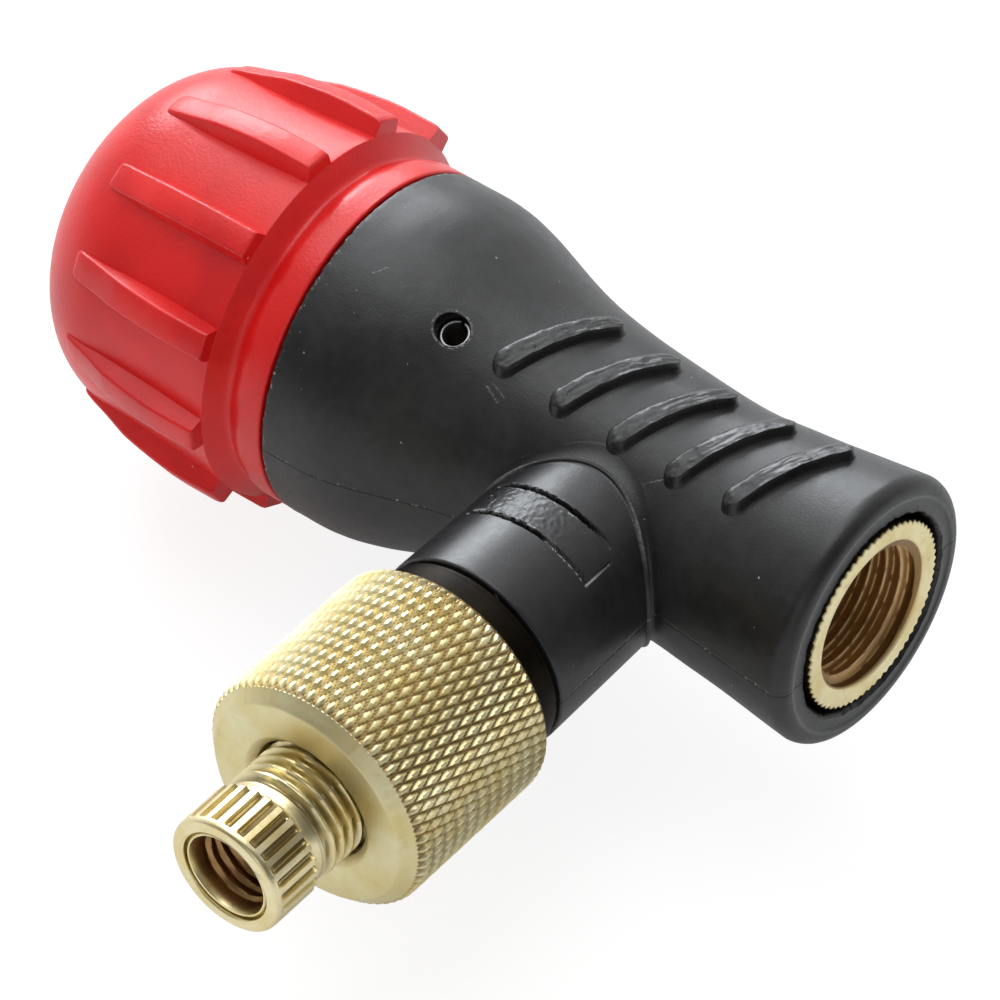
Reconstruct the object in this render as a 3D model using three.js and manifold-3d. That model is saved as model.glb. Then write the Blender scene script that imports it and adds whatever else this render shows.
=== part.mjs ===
import * as THREE from "three";
import { mergeVertices } from "three/addons/utils/BufferGeometryUtils.js";
import Module from "manifold-3d";

// A twist-valve head for inflating bicycle tyres from a screw-in gas cartridge.
//
// Lengths are in millimetres. Every turned piece is drawn as [radius, along] points about its own axis.
// On the main axis "along" is the depth behind the mouth face, where the cartridge screws in.
// On the chuck axis it is the reach, measured out from the main axis towards the tyre valve.

// Clearances
const RUNNING_GAP = 0.3;
const SEAT_GAP = 0.2;
const SEAL_GAP = 0.1;

// Fineness of round pieces: flats per turn
const COARSE_TURN = 16;
const MEDIUM_TURN = 24;
const FINE_TURN = 40;
const RING_TUBE_SIDES = 6;
const OUTLINE_STEPS = 15;

// Cartridge insert
const CARTRIDGE_THREAD_RADIUS = 4.5;
const COUNTERSINK_STEP = 0.47;
const INSERT_FLANGE_RADIUS = 6.2;
const INSERT_FLANGE_LENGTH = 7.5;
const INSERT_BODY_RADIUS = 5.6;
const SOCKET_DEPTH = 10.4;
const INSERT_WEB = 2;
const CARTRIDGE_SEAL_THICKNESS = 1.05;
const CARTRIDGE_SEAL_BORE = 1.9;

// Piercing pin
const PIN_SHAFT_RADIUS = 0.95;
const PIN_FLANGE_RADIUS = 2.2;
const PIN_FLANGE_THICKNESS = 0.9;
const PIN_PROTRUSION = 3.1;
const PIN_GAS_BORE = 0.4;
const PIN_POINT_ANGLE = THREE.MathUtils.degToRad(35);

// Valve block, seat and port
const BLOCK_RADIUS = 5.2;
const BLOCK_FLANGE_RADIUS = 6.6;
const BLOCK_FLANGE_THICKNESS = 2.2;
const BLOCK_FLANGE_LEAD = 0.5;
const BLOCK_TAIL_RADIUS = 4.6;
const BLOCK_TAIL_LENGTH = 5.9;
const BLOCK_FRONT_WEB = 1;
const INLET_RADIUS = 0.8;
const SEAT_RADIUS = 1.95;
const SEAT_THICKNESS = 1.1;
const CHAMBER_RADIUS = 2.3;
const PORT_RADIUS = 1.3;
const PORT_INSET = 0.36;
const SPOT_FACE_REACH = 4.6;

// Valve stem
const STEM_NOSE_RADIUS = 1.8;
const STEM_TIP_RADIUS = 1.3;
const STEM_TIP_THICKNESS = 0.9;
const STEM_PISTON_RADIUS = 2.6;
const STEM_PISTON_LENGTH = 3.3;
const STEM_PISTON_SETBACK = 4.2;
const STEM_WAIST_RADIUS = 2.2;
const STEM_WAIST_LENGTH = 1.6;
const STEM_THREAD_RADIUS = 2.9;
const STEM_THREAD_LENGTH = 5.8;
const STEM_HEX_RADIUS = 2.4;
const STEM_HEX_LENGTH = 7.8;
const STEM_LIFT = 0.8;

// Sealing rings: tube radius of each
const CORE_RING_TUBE = 0.42;
const CORE_RING_RADIUS = 3.6;
const STEM_RING_TUBE = 0.42;
const STEM_RING_EDGE = 0.45;
const DUST_RING_TUBE = 0.5;
const PORT_RING_TUBE = 0.4;

// Housing
const MOUTH_WALL = 2.36;
const FRONT_WALL = 2.15;
const NECK_WALL = 1.85;
const SHOULDER_WALL = 1.88;
const FLARE_WALL = 3.25;
const REAR_WALL = 3.85;
const REAR_DROP = 0.05;
const MOUTH_ROUND = 0.95;
const FRONT_OFFSET = 8.5;
const WAIST_OFFSET = 2.86;
const SHOULDER_OFFSET = 7.4;
const FLARE_OFFSET = 2.5;
const REAR_SETBACK = 3.5;
const REAR_EASE = 1.1;
const STUB_WALL = 2;
const STUB_DRAFT = 0.3;
const STUB_REACH = 16.7;

// Grip ridges on top of the neck
const RIDGE_COUNT = 5;
const RIDGE_FIRST_DEPTH = 6.3;
const RIDGE_PITCH = 4.25;
const RIDGE_LENGTH = 8.75;
const RIDGE_WIDTH = 1.5;
const RIDGE_HEIGHT = 0.55;
const RIDGE_SLANT = THREE.MathUtils.degToRad(22.5);

// Knob hub and its retaining pin
const WASHER_THICKNESS = 0.7;
const HUB_RADIUS = 7.2;
const HUB_ENGAGEMENT = 10.8;
const HUB_DRIVE_RADIUS = 7.35;
const HUB_DRIVE_LENGTH = 13;
const HUB_SOCKET_SPARE = 2.5;
const HUB_GROOVE_DEPTH = 1.3;
const HUB_GROOVE_SETBACK = 2.1;
const DUST_GROOVE_SETBACK = 7.2;
const RETAINING_PIN_RADIUS = 0.95;
const RETAINING_PIN_BORE = 0.55;
const RETAINING_PIN_SINK = 0.35;
const RETAINING_PIN_ANGLE = THREE.MathUtils.degToRad(112);

// Knob shell
const COLLAR_LENGTH = 2.1;
const VALLEY_LENGTH = 0.6;
const VALLEY_SINK = 0.55;
const KNOB_STEP_LENGTH = 1.2;
const KNOB_WALL = 4.75;
const KNOB_EDGE = 0.4;
const KNOB_TAPER = 0.5;
const KNOB_BARREL_LENGTH = 8.8;
const DOME_LENGTH = 8.4;
const DOME_FULLNESS = 2.3;
const RIB_COUNT = 12;
const RIB_HEIGHT = 1.15;
const RIB_WIDTH = 2.2;
const RIB_LENGTH = 10.2;
const RIB_FADE = 7.1;
const RIB_PHASE = THREE.MathUtils.degToRad(2);

// Side nipple
const NIPPLE_INNER_RADIUS = 3.1;
const NIPPLE_RADIUS = 4.4;
const NIPPLE_SHOULDER_REACH = 7.5;
const NIPPLE_FLANGE_RADIUS = 6.6;
const NIPPLE_FLANGE_THICKNESS = 2;
const NIPPLE_NECK_LENGTH = 5.75;
const SNAP_GROOVE_SETBACK = 2.45;
const SNAP_RING_WIDTH = 0.9;
const SNAP_RING_DEPTH = 1.3;
const SNAP_RING_BITE = 0.6;
const SNAP_RING_SLOT = 3;
const CHUCK_SEAL_RADIUS = 3.45;
const CHUCK_SEAL_BORE = 1.5;
const CHUCK_SEAL_THICKNESS = 1.8;
const CHUCK_SEAL_PROUD = 0.4;
const DEPRESSOR_RADIUS = 2;
const DEPRESSOR_THICKNESS = 1.4;
const DEPRESSOR_PIN_RADIUS = 0.6;
const DEPRESSOR_PIN_LENGTH = 4.5;
const DEPRESSOR_NOTCH_RADIUS = 0.7;
const DEPRESSOR_NOTCHES = 3;

// Chuck nut
const NUT_LENGTH = 12.7;
const NUT_RADIUS = 7.9;
const NUT_CHAMFER_RADIAL = 1;
const NUT_CHAMFER_LENGTH = 0.75;
const VALVE_THREAD_RADIUS = 4.05;
const NUT_COUNTERSINK_STEP = 0.45;

// Valve adapter
const ADAPTER_HEAD_OVERHANG = 7.25;
const ADAPTER_FACE_RADIUS = 3.96;
const ADAPTER_FACE_LENGTH = 0.65;
const ADAPTER_SPLINE_LENGTH = 2.8;
const ADAPTER_SPLINE_DEPTH = 0.35;
const ADAPTER_SPLINES = 26;
const ADAPTER_NECK_RADIUS = 3.45;
const ADAPTER_NECK_LENGTH = 1.3;
const ADAPTER_THREAD_CHAMFER = 0.5;
const ADAPTER_BORE_RADIUS = 2.4;
const ADAPTER_MOUTH_RADIUS = 2.87;
const ADAPTER_MOUTH_DEPTH = 0.8;
const ADAPTER_GAS_BORE = 1.5;
const ADAPTER_SEAL_RADIUS = 2.6;
const ADAPTER_SEAL_BORE = 1.7;
const ADAPTER_SEAL_THICKNESS = 1.2;
const ADAPTER_SEAL_SETBACK = 4.5;

// Places that follow from the sizes above: depths on the main axis
const insertEnd = SOCKET_DEPTH + INSERT_WEB;
const blockStart = insertEnd + SEAT_GAP;
const seatPocketStart = blockStart + BLOCK_FRONT_WEB;
const seatStart = seatPocketStart + SEAL_GAP;
const seatEnd = seatStart + SEAT_THICKNESS;
const chamberStart = seatEnd + SEAL_GAP;
const portDepth = chamberStart + PORT_RADIUS + PORT_INSET;
const stemTipStart = seatEnd + SEAL_GAP;
const pistonStart = stemTipStart + STEM_PISTON_SETBACK;
const pistonEnd = pistonStart + STEM_PISTON_LENGTH;
const stemThreadStart = pistonEnd + STEM_WAIST_LENGTH;
const stemThreadEnd = stemThreadStart + STEM_THREAD_LENGTH;
const stemEnd = stemThreadEnd + STEM_HEX_LENGTH;
const pistonBoreStart = pistonStart - RUNNING_GAP;
const blockThreadStart = pistonEnd + STEM_LIFT + SEAT_GAP;
const blockFlangeStart = blockThreadStart - BLOCK_FLANGE_LEAD;
const blockFlangeEnd = blockFlangeStart + BLOCK_FLANGE_THICKNESS;
const blockEnd = blockFlangeEnd + BLOCK_TAIL_LENGTH;
const washerStart = blockFlangeEnd + SEAT_GAP;
const washerEnd = washerStart + WASHER_THICKNESS;
const hubStart = washerEnd + RUNNING_GAP;
const pinDepth = hubStart + HUB_GROOVE_SETBACK;
const dustGrooveDepth = hubStart + DUST_GROOVE_SETBACK;
const bodyLength = hubStart + HUB_ENGAGEMENT;
const knobStart = bodyLength + SEAT_GAP;
const hubEnd = knobStart + HUB_DRIVE_LENGTH;
const barrelStart = knobStart + COLLAR_LENGTH + VALLEY_LENGTH + KNOB_STEP_LENGTH;
const domeStart = barrelStart + KNOB_BARREL_LENGTH;
const knobEnd = domeStart + DOME_LENGTH;

// Radii that follow
const frontRadius = INSERT_BODY_RADIUS + SEAT_GAP + FRONT_WALL;
const neckRadius = INSERT_BODY_RADIUS + SEAT_GAP + NECK_WALL;
const mouthRadius = INSERT_FLANGE_RADIUS + SEAT_GAP + MOUTH_WALL;
const shoulderRadius = BLOCK_FLANGE_RADIUS + SEAT_GAP + SHOULDER_WALL;
const journalBore = HUB_RADIUS + RUNNING_GAP;
const flareRadius = journalBore + FLARE_WALL;
const rearRadius = journalBore + REAR_WALL;
const barrelRadius = HUB_DRIVE_RADIUS + KNOB_WALL;
const domeRadius = barrelRadius - KNOB_TAPER;
const stubBore = NIPPLE_RADIUS + SEAT_GAP;
const stubRadius = stubBore + STUB_WALL;

// Reaches on the chuck axis
const nippleStart = SPOT_FACE_REACH + RUNNING_GAP;
const nippleFlangeStart = STUB_REACH + SEAT_GAP;
const nippleFlangeEnd = nippleFlangeStart + NIPPLE_FLANGE_THICKNESS;
const nippleEnd = nippleFlangeEnd + NIPPLE_NECK_LENGTH;
const nutStart = nippleFlangeEnd + SEAT_GAP;
const nutEnd = nutStart + NUT_LENGTH;
const snapRingStart = nippleFlangeEnd + SNAP_GROOVE_SETBACK;
const snapRingEnd = snapRingStart + SNAP_RING_WIDTH;
const chuckSealEnd = nippleEnd + CHUCK_SEAL_PROUD;
const chuckSealStart = chuckSealEnd - CHUCK_SEAL_THICKNESS;
const depressorEnd = chuckSealStart - SEAL_GAP;
const depressorStart = depressorEnd - DEPRESSOR_THICKNESS;
const adapterStart = chuckSealEnd + SEAT_GAP;
const adapterEnd = nutEnd + ADAPTER_HEAD_OVERHANG;
const splineEnd = adapterEnd - ADAPTER_FACE_LENGTH;
const splineStart = splineEnd - ADAPTER_SPLINE_LENGTH;
const adapterThreadEnd = splineStart - ADAPTER_NECK_LENGTH;
const adapterThreadRadius = VALVE_THREAD_RADIUS - SEAT_GAP - SEAL_GAP / 2;
const adapterSealStart = adapterStart + ADAPTER_SEAL_SETBACK;
const adapterSealEnd = adapterSealStart + ADAPTER_SEAL_THICKNESS;

const QUARTER_TURN = Math.PI / 2;
const PAST = 1;
const MERGE_TOLERANCE = 1e-4;

const wasm = await Module();
wasm.setup();

// ---- Solids -------------------------------------------------------------------------------------------

// A closed geometry as a solid that can be cut and joined.
function solidOf(geometry) {
  geometry.deleteAttribute("normal");
  geometry.deleteAttribute("uv");
  const merged = mergeVertices(geometry, MERGE_TOLERANCE);
  const corners = merged.index.array;
  const kept = [];
  for (let i = 0; i < corners.length; i += 3) {
    const [a, b, c] = corners.slice(i, i + 3);
    const collapsed = a === b || b === c || c === a;
    if (!collapsed) kept.push(a, b, c);
  }
  return new wasm.Manifold(
    new wasm.Mesh({
      numProp: 3,
      vertProperties: new Float32Array(merged.attributes.position.array),
      triVerts: new Uint32Array(kept),
    }),
  );
}

function geometryOf(solid) {
  const mesh = solid.getMesh();
  const geometry = new THREE.BufferGeometry();
  geometry.setAttribute("position", new THREE.BufferAttribute(mesh.vertProperties, 3));
  geometry.setIndex(new THREE.BufferAttribute(mesh.triVerts, 1));
  const flat = geometry.toNonIndexed();
  flat.computeVertexNormals();
  return flat;
}

function join(...solids) {
  return solids.reduce((whole, next) => whole.add(next));
}

function cut(solid, ...tools) {
  return tools.reduce((rest, tool) => rest.subtract(tool), solid);
}

// Twice the area that a profile encloses, positive when it runs anticlockwise.
function signedArea(profile) {
  return profile.reduce((sum, [r, y], i) => {
    const [nextR, nextY] = profile[(i + 1) % profile.length];
    return sum + r * nextY - nextR * y;
  }, 0);
}

// The profile turned about +Y. It either starts and ends on the axis or is a ring's section.
function turnedGeometry(profile, flats) {
  const ordered = signedArea(profile) > 0 ? profile : [...profile].reverse();
  const onAxis = ordered.some(([r]) => r === 0);
  const outline = onAxis ? startingOnAxis(ordered) : [...ordered, ordered[0]];
  const points = outline.map(([r, y]) => new THREE.Vector2(r, y));
  return new THREE.LatheGeometry(points, flats);
}

// The closed profile rotated so that its stretch along the axis is the one left open.
function startingOnAxis(profile) {
  const count = profile.length;
  const first = profile.findIndex(([r], i) => {
    const [before] = profile[(i + count - 1) % count];
    return r === 0 && before === 0;
  });
  return profile.map((_, i) => profile[(first + i) % count]);
}

function turned(profile, flats = MEDIUM_TURN) {
  return solidOf(turnedGeometry(profile, flats));
}

// A solid rod along +Y between two places.
function rod(radius, from, to, flats = MEDIUM_TURN) {
  const profile = [
    [0, from],
    [radius, from],
    [radius, to],
    [0, to],
  ];
  return turned(profile, flats);
}

// A tube along +Y between two places.
function tube(inner, outer, from, to, flats = MEDIUM_TURN) {
  const section = [
    [inner, from],
    [outer, from],
    [outer, to],
    [inner, to],
  ];
  return turned(section, flats);
}

// A round-section ring about +Y.
function ring(radius, tubeRadius, along, flats = COARSE_TURN) {
  const geometry = new THREE.TorusGeometry(radius, tubeRadius, RING_TUBE_SIDES, flats);
  geometry.rotateX(QUARTER_TURN);
  geometry.translate(0, along, 0);
  return solidOf(geometry);
}

// Turns a solid drawn along +Y so that it runs along -X at a depth: the chuck's way out of the main axis.
function towardsChuck(solid, depth) {
  return solid.rotate([0, 0, 90]).translate([0, depth, 0]);
}

// ---- Housing ------------------------------------------------------------------------------------------

// The waisted outline of the housing as [radius, depth] points, grown outwards by an offset.
function housingOutline(offset) {
  const waist = new THREE.SplineCurve([
    new THREE.Vector2(mouthRadius, MOUTH_ROUND),
    new THREE.Vector2(frontRadius, portDepth - FRONT_OFFSET),
    new THREE.Vector2(neckRadius, portDepth - WAIST_OFFSET),
    new THREE.Vector2(shoulderRadius, portDepth + SHOULDER_OFFSET),
    new THREE.Vector2(flareRadius, pinDepth + FLARE_OFFSET),
    new THREE.Vector2(rearRadius - REAR_DROP, bodyLength - REAR_SETBACK),
    new THREE.Vector2(rearRadius, bodyLength - REAR_EASE),
  ]);
  const waistPoints = waist.getPoints(OUTLINE_STEPS).map((p) => [p.x + offset, p.y]);
  return [...waistPoints, [rearRadius + offset, bodyLength]];
}

// The rounded edge between the mouth face and the outline.
function mouthRound() {
  const steps = 4;
  const points = [];
  for (let i = 0; i < steps; i += 1) {
    const angle = (i / steps) * QUARTER_TURN;
    const radius = mouthRadius - MOUTH_ROUND * (1 - Math.sin(angle));
    points.push([radius, MOUTH_ROUND * (1 - Math.cos(angle))]);
  }
  return points;
}

function gripRidge(index) {
  const half = (RIDGE_LENGTH - RIDGE_WIDTH) / 2;
  const end = RIDGE_WIDTH / 2;
  const plan = new THREE.Shape();
  plan.absarc(half, 0, end, -QUARTER_TURN, QUARTER_TURN, false);
  plan.absarc(-half, 0, end, QUARTER_TURN, 3 * QUARTER_TURN, false);
  const depth = mouthRadius * 2;
  const bar = new THREE.ExtrudeGeometry(plan, { depth, bevelEnabled: false, curveSegments: 5 });
  bar.rotateZ(-RIDGE_SLANT);
  bar.translate(0, RIDGE_FIRST_DEPTH + index * RIDGE_PITCH, neckRadius / 2);
  return solidOf(bar);
}

function gripRidges() {
  const crest = housingOutline(RIDGE_HEIGHT);
  const envelope = turned([[0, MOUTH_ROUND], ...crest, [0, bodyLength]], FINE_TURN);
  const bars = [];
  for (let i = 0; i < RIDGE_COUNT; i += 1) bars.push(gripRidge(i));
  return join(...bars).intersect(envelope);
}

function retainingPinPlace(solid) {
  const tilt = THREE.MathUtils.radToDeg(RETAINING_PIN_ANGLE);
  return solid.rotate([90, 0, 0]).rotate([0, 90 - tilt, 0]).translate([0, pinDepth, 0]);
}

function bodyHousing() {
  const shellProfile = [[0, 0], ...mouthRound(), ...housingOutline(0), [0, bodyLength]];
  const shell = turned(shellProfile, FINE_TURN);
  const stubProfile = [
    [0, 0],
    [stubRadius - STUB_DRAFT, 0],
    [stubRadius - STUB_DRAFT, nippleStart],
    [stubRadius, STUB_REACH],
    [0, STUB_REACH],
  ];
  const stub = towardsChuck(turned(stubProfile, FINE_TURN), portDepth);
  const insertRecess = turned([
    [0, -PAST],
    [INSERT_FLANGE_RADIUS + SEAT_GAP, -PAST],
    [INSERT_FLANGE_RADIUS + SEAT_GAP, INSERT_FLANGE_LENGTH + SEAT_GAP],
    [INSERT_BODY_RADIUS + SEAT_GAP, INSERT_FLANGE_LENGTH + SEAT_GAP],
    [INSERT_BODY_RADIUS + SEAT_GAP, blockStart],
    [BLOCK_RADIUS + SEAT_GAP, blockStart],
    [BLOCK_RADIUS + SEAT_GAP, blockFlangeStart - SEAT_GAP],
    [BLOCK_FLANGE_RADIUS + SEAT_GAP, blockFlangeStart - SEAT_GAP],
    [BLOCK_FLANGE_RADIUS + SEAT_GAP, hubStart - SEAT_GAP],
    [journalBore, hubStart - SEAT_GAP],
    [journalBore, bodyLength + PAST],
    [0, bodyLength + PAST],
  ]);
  const nippleBore = turned([
    [0, 0],
    [NIPPLE_INNER_RADIUS + SEAT_GAP, 0],
    [NIPPLE_INNER_RADIUS + SEAT_GAP, NIPPLE_SHOULDER_REACH - SEAT_GAP],
    [stubBore, NIPPLE_SHOULDER_REACH - SEAT_GAP],
    [stubBore, STUB_REACH + PAST],
    [0, STUB_REACH + PAST],
  ]);
  const pinHole = retainingPinPlace(
    rod(RETAINING_PIN_RADIUS + SEAT_GAP, HUB_RADIUS, rearRadius + PAST, COARSE_TURN),
  );
  return cut(
    join(shell, stub, gripRidges()),
    insertRecess,
    towardsChuck(nippleBore, portDepth),
    pinHole,
  );
}

// The outline's radius at a depth, read off its straight stretches.
function housingRadiusAt(depth) {
  const outline = housingOutline(0);
  const after = outline.findIndex(([, y]) => y >= depth);
  const [radiusA, depthA] = outline[after - 1];
  const [radiusB, depthB] = outline[after];
  return radiusA + ((radiusB - radiusA) * (depth - depthA)) / (depthB - depthA);
}

// A rolled pin: a tube split along one side.
function retainingPin() {
  const inner = HUB_RADIUS - HUB_GROOVE_DEPTH + SEAT_GAP;
  const outer = housingRadiusAt(pinDepth) - RETAINING_PIN_SINK;
  const roll = tube(RETAINING_PIN_BORE, RETAINING_PIN_RADIUS, inner, outer, 16);
  const slotWidth = 0.3;
  const slot = new THREE.BoxGeometry(slotWidth, outer - inner + PAST, RETAINING_PIN_RADIUS * 2);
  slot.translate(0, (inner + outer) / 2, RETAINING_PIN_RADIUS);
  return retainingPinPlace(cut(roll, solidOf(slot)));
}

// ---- Cartridge side -----------------------------------------------------------------------------------

function cartridgeInsert() {
  const flangePocket = PIN_FLANGE_THICKNESS + SEAL_GAP;
  return turned(
    [
      [CARTRIDGE_THREAD_RADIUS + COUNTERSINK_STEP, 0],
      [INSERT_FLANGE_RADIUS, 0],
      [INSERT_FLANGE_RADIUS, INSERT_FLANGE_LENGTH],
      [INSERT_BODY_RADIUS, INSERT_FLANGE_LENGTH],
      [INSERT_BODY_RADIUS, insertEnd],
      [PIN_FLANGE_RADIUS + SEAT_GAP, insertEnd],
      [PIN_FLANGE_RADIUS + SEAT_GAP, insertEnd - flangePocket],
      [PIN_SHAFT_RADIUS + SEAT_GAP, insertEnd - flangePocket],
      [PIN_SHAFT_RADIUS + SEAT_GAP, SOCKET_DEPTH],
      [CARTRIDGE_THREAD_RADIUS, SOCKET_DEPTH],
      [CARTRIDGE_THREAD_RADIUS, COUNTERSINK_STEP],
    ],
    FINE_TURN,
  );
}

function cartridgeSeal() {
  const back = SOCKET_DEPTH - SEAL_GAP;
  const outer = CARTRIDGE_THREAD_RADIUS - SEAT_GAP;
  return tube(CARTRIDGE_SEAL_BORE, outer, back - CARTRIDGE_SEAL_THICKNESS, back);
}

// A hollow needle with a slanted point, clamped by the flange at its foot.
function piercingPin() {
  const back = insertEnd - SEAL_GAP / 2;
  const flangeFront = back - PIN_FLANGE_THICKNESS;
  const tip = SOCKET_DEPTH - PIN_PROTRUSION;
  const pin = turned(
    [
      [PIN_GAS_BORE, tip],
      [PIN_SHAFT_RADIUS, tip],
      [PIN_SHAFT_RADIUS, flangeFront],
      [PIN_FLANGE_RADIUS, flangeFront],
      [PIN_FLANGE_RADIUS, back],
      [PIN_GAS_BORE, back],
    ],
    COARSE_TURN,
  );
  const block = PIN_SHAFT_RADIUS * 4;
  const slant = new THREE.BoxGeometry(block, block, block);
  slant.translate(block / 2, -block / 2, 0);
  slant.rotateZ(PIN_POINT_ANGLE);
  slant.translate(-PIN_SHAFT_RADIUS, tip, 0);
  return cut(pin, solidOf(slant));
}

// ---- Valve --------------------------------------------------------------------------------------------

function coreGrooveWall() {
  return CORE_RING_TUBE + SEAL_GAP;
}

function coreSealRing() {
  return ring(CORE_RING_RADIUS, CORE_RING_TUBE, insertEnd + SEAL_GAP + CORE_RING_TUBE, MEDIUM_TURN);
}

function valveBlock() {
  const grooveFloor = insertEnd + 2 * (CORE_RING_TUBE + SEAL_GAP);
  const body = turned([
    [0, blockStart],
    [CORE_RING_RADIUS - coreGrooveWall(), blockStart],
    [CORE_RING_RADIUS - coreGrooveWall(), grooveFloor],
    [CORE_RING_RADIUS + coreGrooveWall(), grooveFloor],
    [CORE_RING_RADIUS + coreGrooveWall(), blockStart],
    [BLOCK_RADIUS, blockStart],
    [BLOCK_RADIUS, blockFlangeStart],
    [BLOCK_FLANGE_RADIUS, blockFlangeStart],
    [BLOCK_FLANGE_RADIUS, blockFlangeEnd],
    [BLOCK_TAIL_RADIUS, blockFlangeEnd],
    [BLOCK_TAIL_RADIUS, blockEnd],
    [0, blockEnd],
  ]);
  const bore = turned(
    [
      [0, blockStart - PAST],
      [INLET_RADIUS, blockStart - PAST],
      [INLET_RADIUS, seatPocketStart],
      [SEAT_RADIUS + SEAL_GAP, seatPocketStart],
      [SEAT_RADIUS + SEAL_GAP, chamberStart],
      [CHAMBER_RADIUS, chamberStart],
      [CHAMBER_RADIUS, pistonBoreStart],
      [STEM_PISTON_RADIUS + RUNNING_GAP, pistonBoreStart],
      [STEM_PISTON_RADIUS + RUNNING_GAP, blockThreadStart],
      [STEM_THREAD_RADIUS + RUNNING_GAP, blockThreadStart],
      [STEM_THREAD_RADIUS + RUNNING_GAP, blockEnd + PAST],
      [0, blockEnd + PAST],
    ],
    COARSE_TURN,
  );
  const port = rod(PORT_RADIUS, 0, BLOCK_RADIUS + PAST, COARSE_TURN);
  const spotFace = rod(
    NIPPLE_INNER_RADIUS + RUNNING_GAP,
    SPOT_FACE_REACH,
    BLOCK_RADIUS + PAST,
    COARSE_TURN,
  );
  return cut(body, bore, towardsChuck(port, portDepth), towardsChuck(spotFace, portDepth));
}

function valveSeat() {
  return tube(INLET_RADIUS, SEAT_RADIUS, seatStart, seatEnd, COARSE_TURN);
}

function stemGrooveFloor() {
  return STEM_PISTON_RADIUS + RUNNING_GAP - SEAL_GAP - 2 * STEM_RING_TUBE - SEAL_GAP;
}

function stemRingDepths() {
  const halfGroove = STEM_RING_TUBE + SEAL_GAP;
  return [
    pistonStart + STEM_RING_EDGE + halfGroove,
    pistonEnd - STEM_RING_EDGE - halfGroove,
  ];
}

function stemRing(index) {
  const radius = stemGrooveFloor() + SEAL_GAP + STEM_RING_TUBE;
  return ring(radius, STEM_RING_TUBE, stemRingDepths()[index]);
}

// The stem closes the seat with its tip, screws through the block and ends in a hexagon.
function valveStem() {
  const halfGroove = STEM_RING_TUBE + SEAL_GAP;
  const [front, rear] = stemRingDepths();
  const floor = stemGrooveFloor();
  const pocketRadius = STEM_TIP_RADIUS + SEAL_GAP;
  const pocketEnd = stemTipStart + STEM_TIP_THICKNESS + SEAL_GAP;
  const noseStart = stemTipStart + SEAT_GAP;
  const spindle = turned(
    [
      [0, pocketEnd],
      [pocketRadius, pocketEnd],
      [pocketRadius, noseStart],
      [STEM_NOSE_RADIUS, noseStart],
      [STEM_NOSE_RADIUS, pistonStart],
      [STEM_PISTON_RADIUS, pistonStart],
      [STEM_PISTON_RADIUS, front - halfGroove],
      [floor, front - halfGroove],
      [floor, front + halfGroove],
      [STEM_PISTON_RADIUS, front + halfGroove],
      [STEM_PISTON_RADIUS, rear - halfGroove],
      [floor, rear - halfGroove],
      [floor, rear + halfGroove],
      [STEM_PISTON_RADIUS, rear + halfGroove],
      [STEM_PISTON_RADIUS, pistonEnd],
      [STEM_WAIST_RADIUS, pistonEnd],
      [STEM_WAIST_RADIUS, stemThreadStart],
      [STEM_THREAD_RADIUS, stemThreadStart],
      [STEM_THREAD_RADIUS, stemThreadEnd],
      [0, stemThreadEnd],
    ],
    COARSE_TURN,
  );
  return join(spindle, rod(STEM_HEX_RADIUS, stemThreadEnd - SEAT_GAP, stemEnd, 6));
}

function stemTipSeal() {
  return rod(STEM_TIP_RADIUS, stemTipStart, stemTipStart + STEM_TIP_THICKNESS, COARSE_TURN);
}

function thrustWasher() {
  return tube(BLOCK_TAIL_RADIUS + RUNNING_GAP, BLOCK_FLANGE_RADIUS, washerStart, washerEnd);
}

// ---- Knob ---------------------------------------------------------------------------------------------

function dustGrooveFloor() {
  return journalBore - SEAL_GAP - 2 * DUST_RING_TUBE - SEAL_GAP;
}

// The hub turns in the housing, held by the pin in its groove, and drives the stem's hexagon.
function knobHub() {
  const halfPinGroove = RETAINING_PIN_RADIUS + RUNNING_GAP;
  const halfDustGroove = DUST_RING_TUBE + SEAL_GAP;
  const pinFloor = HUB_RADIUS - HUB_GROOVE_DEPTH;
  const tailClearance = blockEnd + RUNNING_GAP;
  const journal = turned([
    [0, tailClearance],
    [BLOCK_TAIL_RADIUS + RUNNING_GAP, tailClearance],
    [BLOCK_TAIL_RADIUS + RUNNING_GAP, hubStart],
    [HUB_RADIUS, hubStart],
    [HUB_RADIUS, pinDepth - halfPinGroove],
    [pinFloor, pinDepth - halfPinGroove],
    [pinFloor, pinDepth + halfPinGroove],
    [HUB_RADIUS, pinDepth + halfPinGroove],
    [HUB_RADIUS, dustGrooveDepth - halfDustGroove],
    [dustGrooveFloor(), dustGrooveDepth - halfDustGroove],
    [dustGrooveFloor(), dustGrooveDepth + halfDustGroove],
    [HUB_RADIUS, dustGrooveDepth + halfDustGroove],
    [HUB_RADIUS, knobStart],
    [0, knobStart],
  ]);
  const drive = rod(HUB_DRIVE_RADIUS, knobStart, hubEnd, 6);
  const socketRadius = STEM_HEX_RADIUS + RUNNING_GAP;
  const socket = rod(socketRadius, tailClearance - PAST, stemEnd + HUB_SOCKET_SPARE, 6);
  return cut(join(journal, drive), socket);
}

function hubDustSeal() {
  const radius = dustGrooveFloor() + SEAL_GAP + DUST_RING_TUBE;
  return ring(radius, DUST_RING_TUBE, dustGrooveDepth, MEDIUM_TURN);
}

// The rounded end of the knob, a quarter of a blunt ellipse down to the axis.
function domeOutline() {
  const steps = 8;
  const power = 2 / DOME_FULLNESS;
  const points = [];
  for (let i = 0; i < steps; i += 1) {
    const angle = (i / steps) * QUARTER_TURN;
    const radius = domeRadius * Math.cos(angle) ** power;
    points.push([radius, domeStart + DOME_LENGTH * Math.sin(angle) ** power]);
  }
  return [...points, [0, knobEnd]];
}

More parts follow.
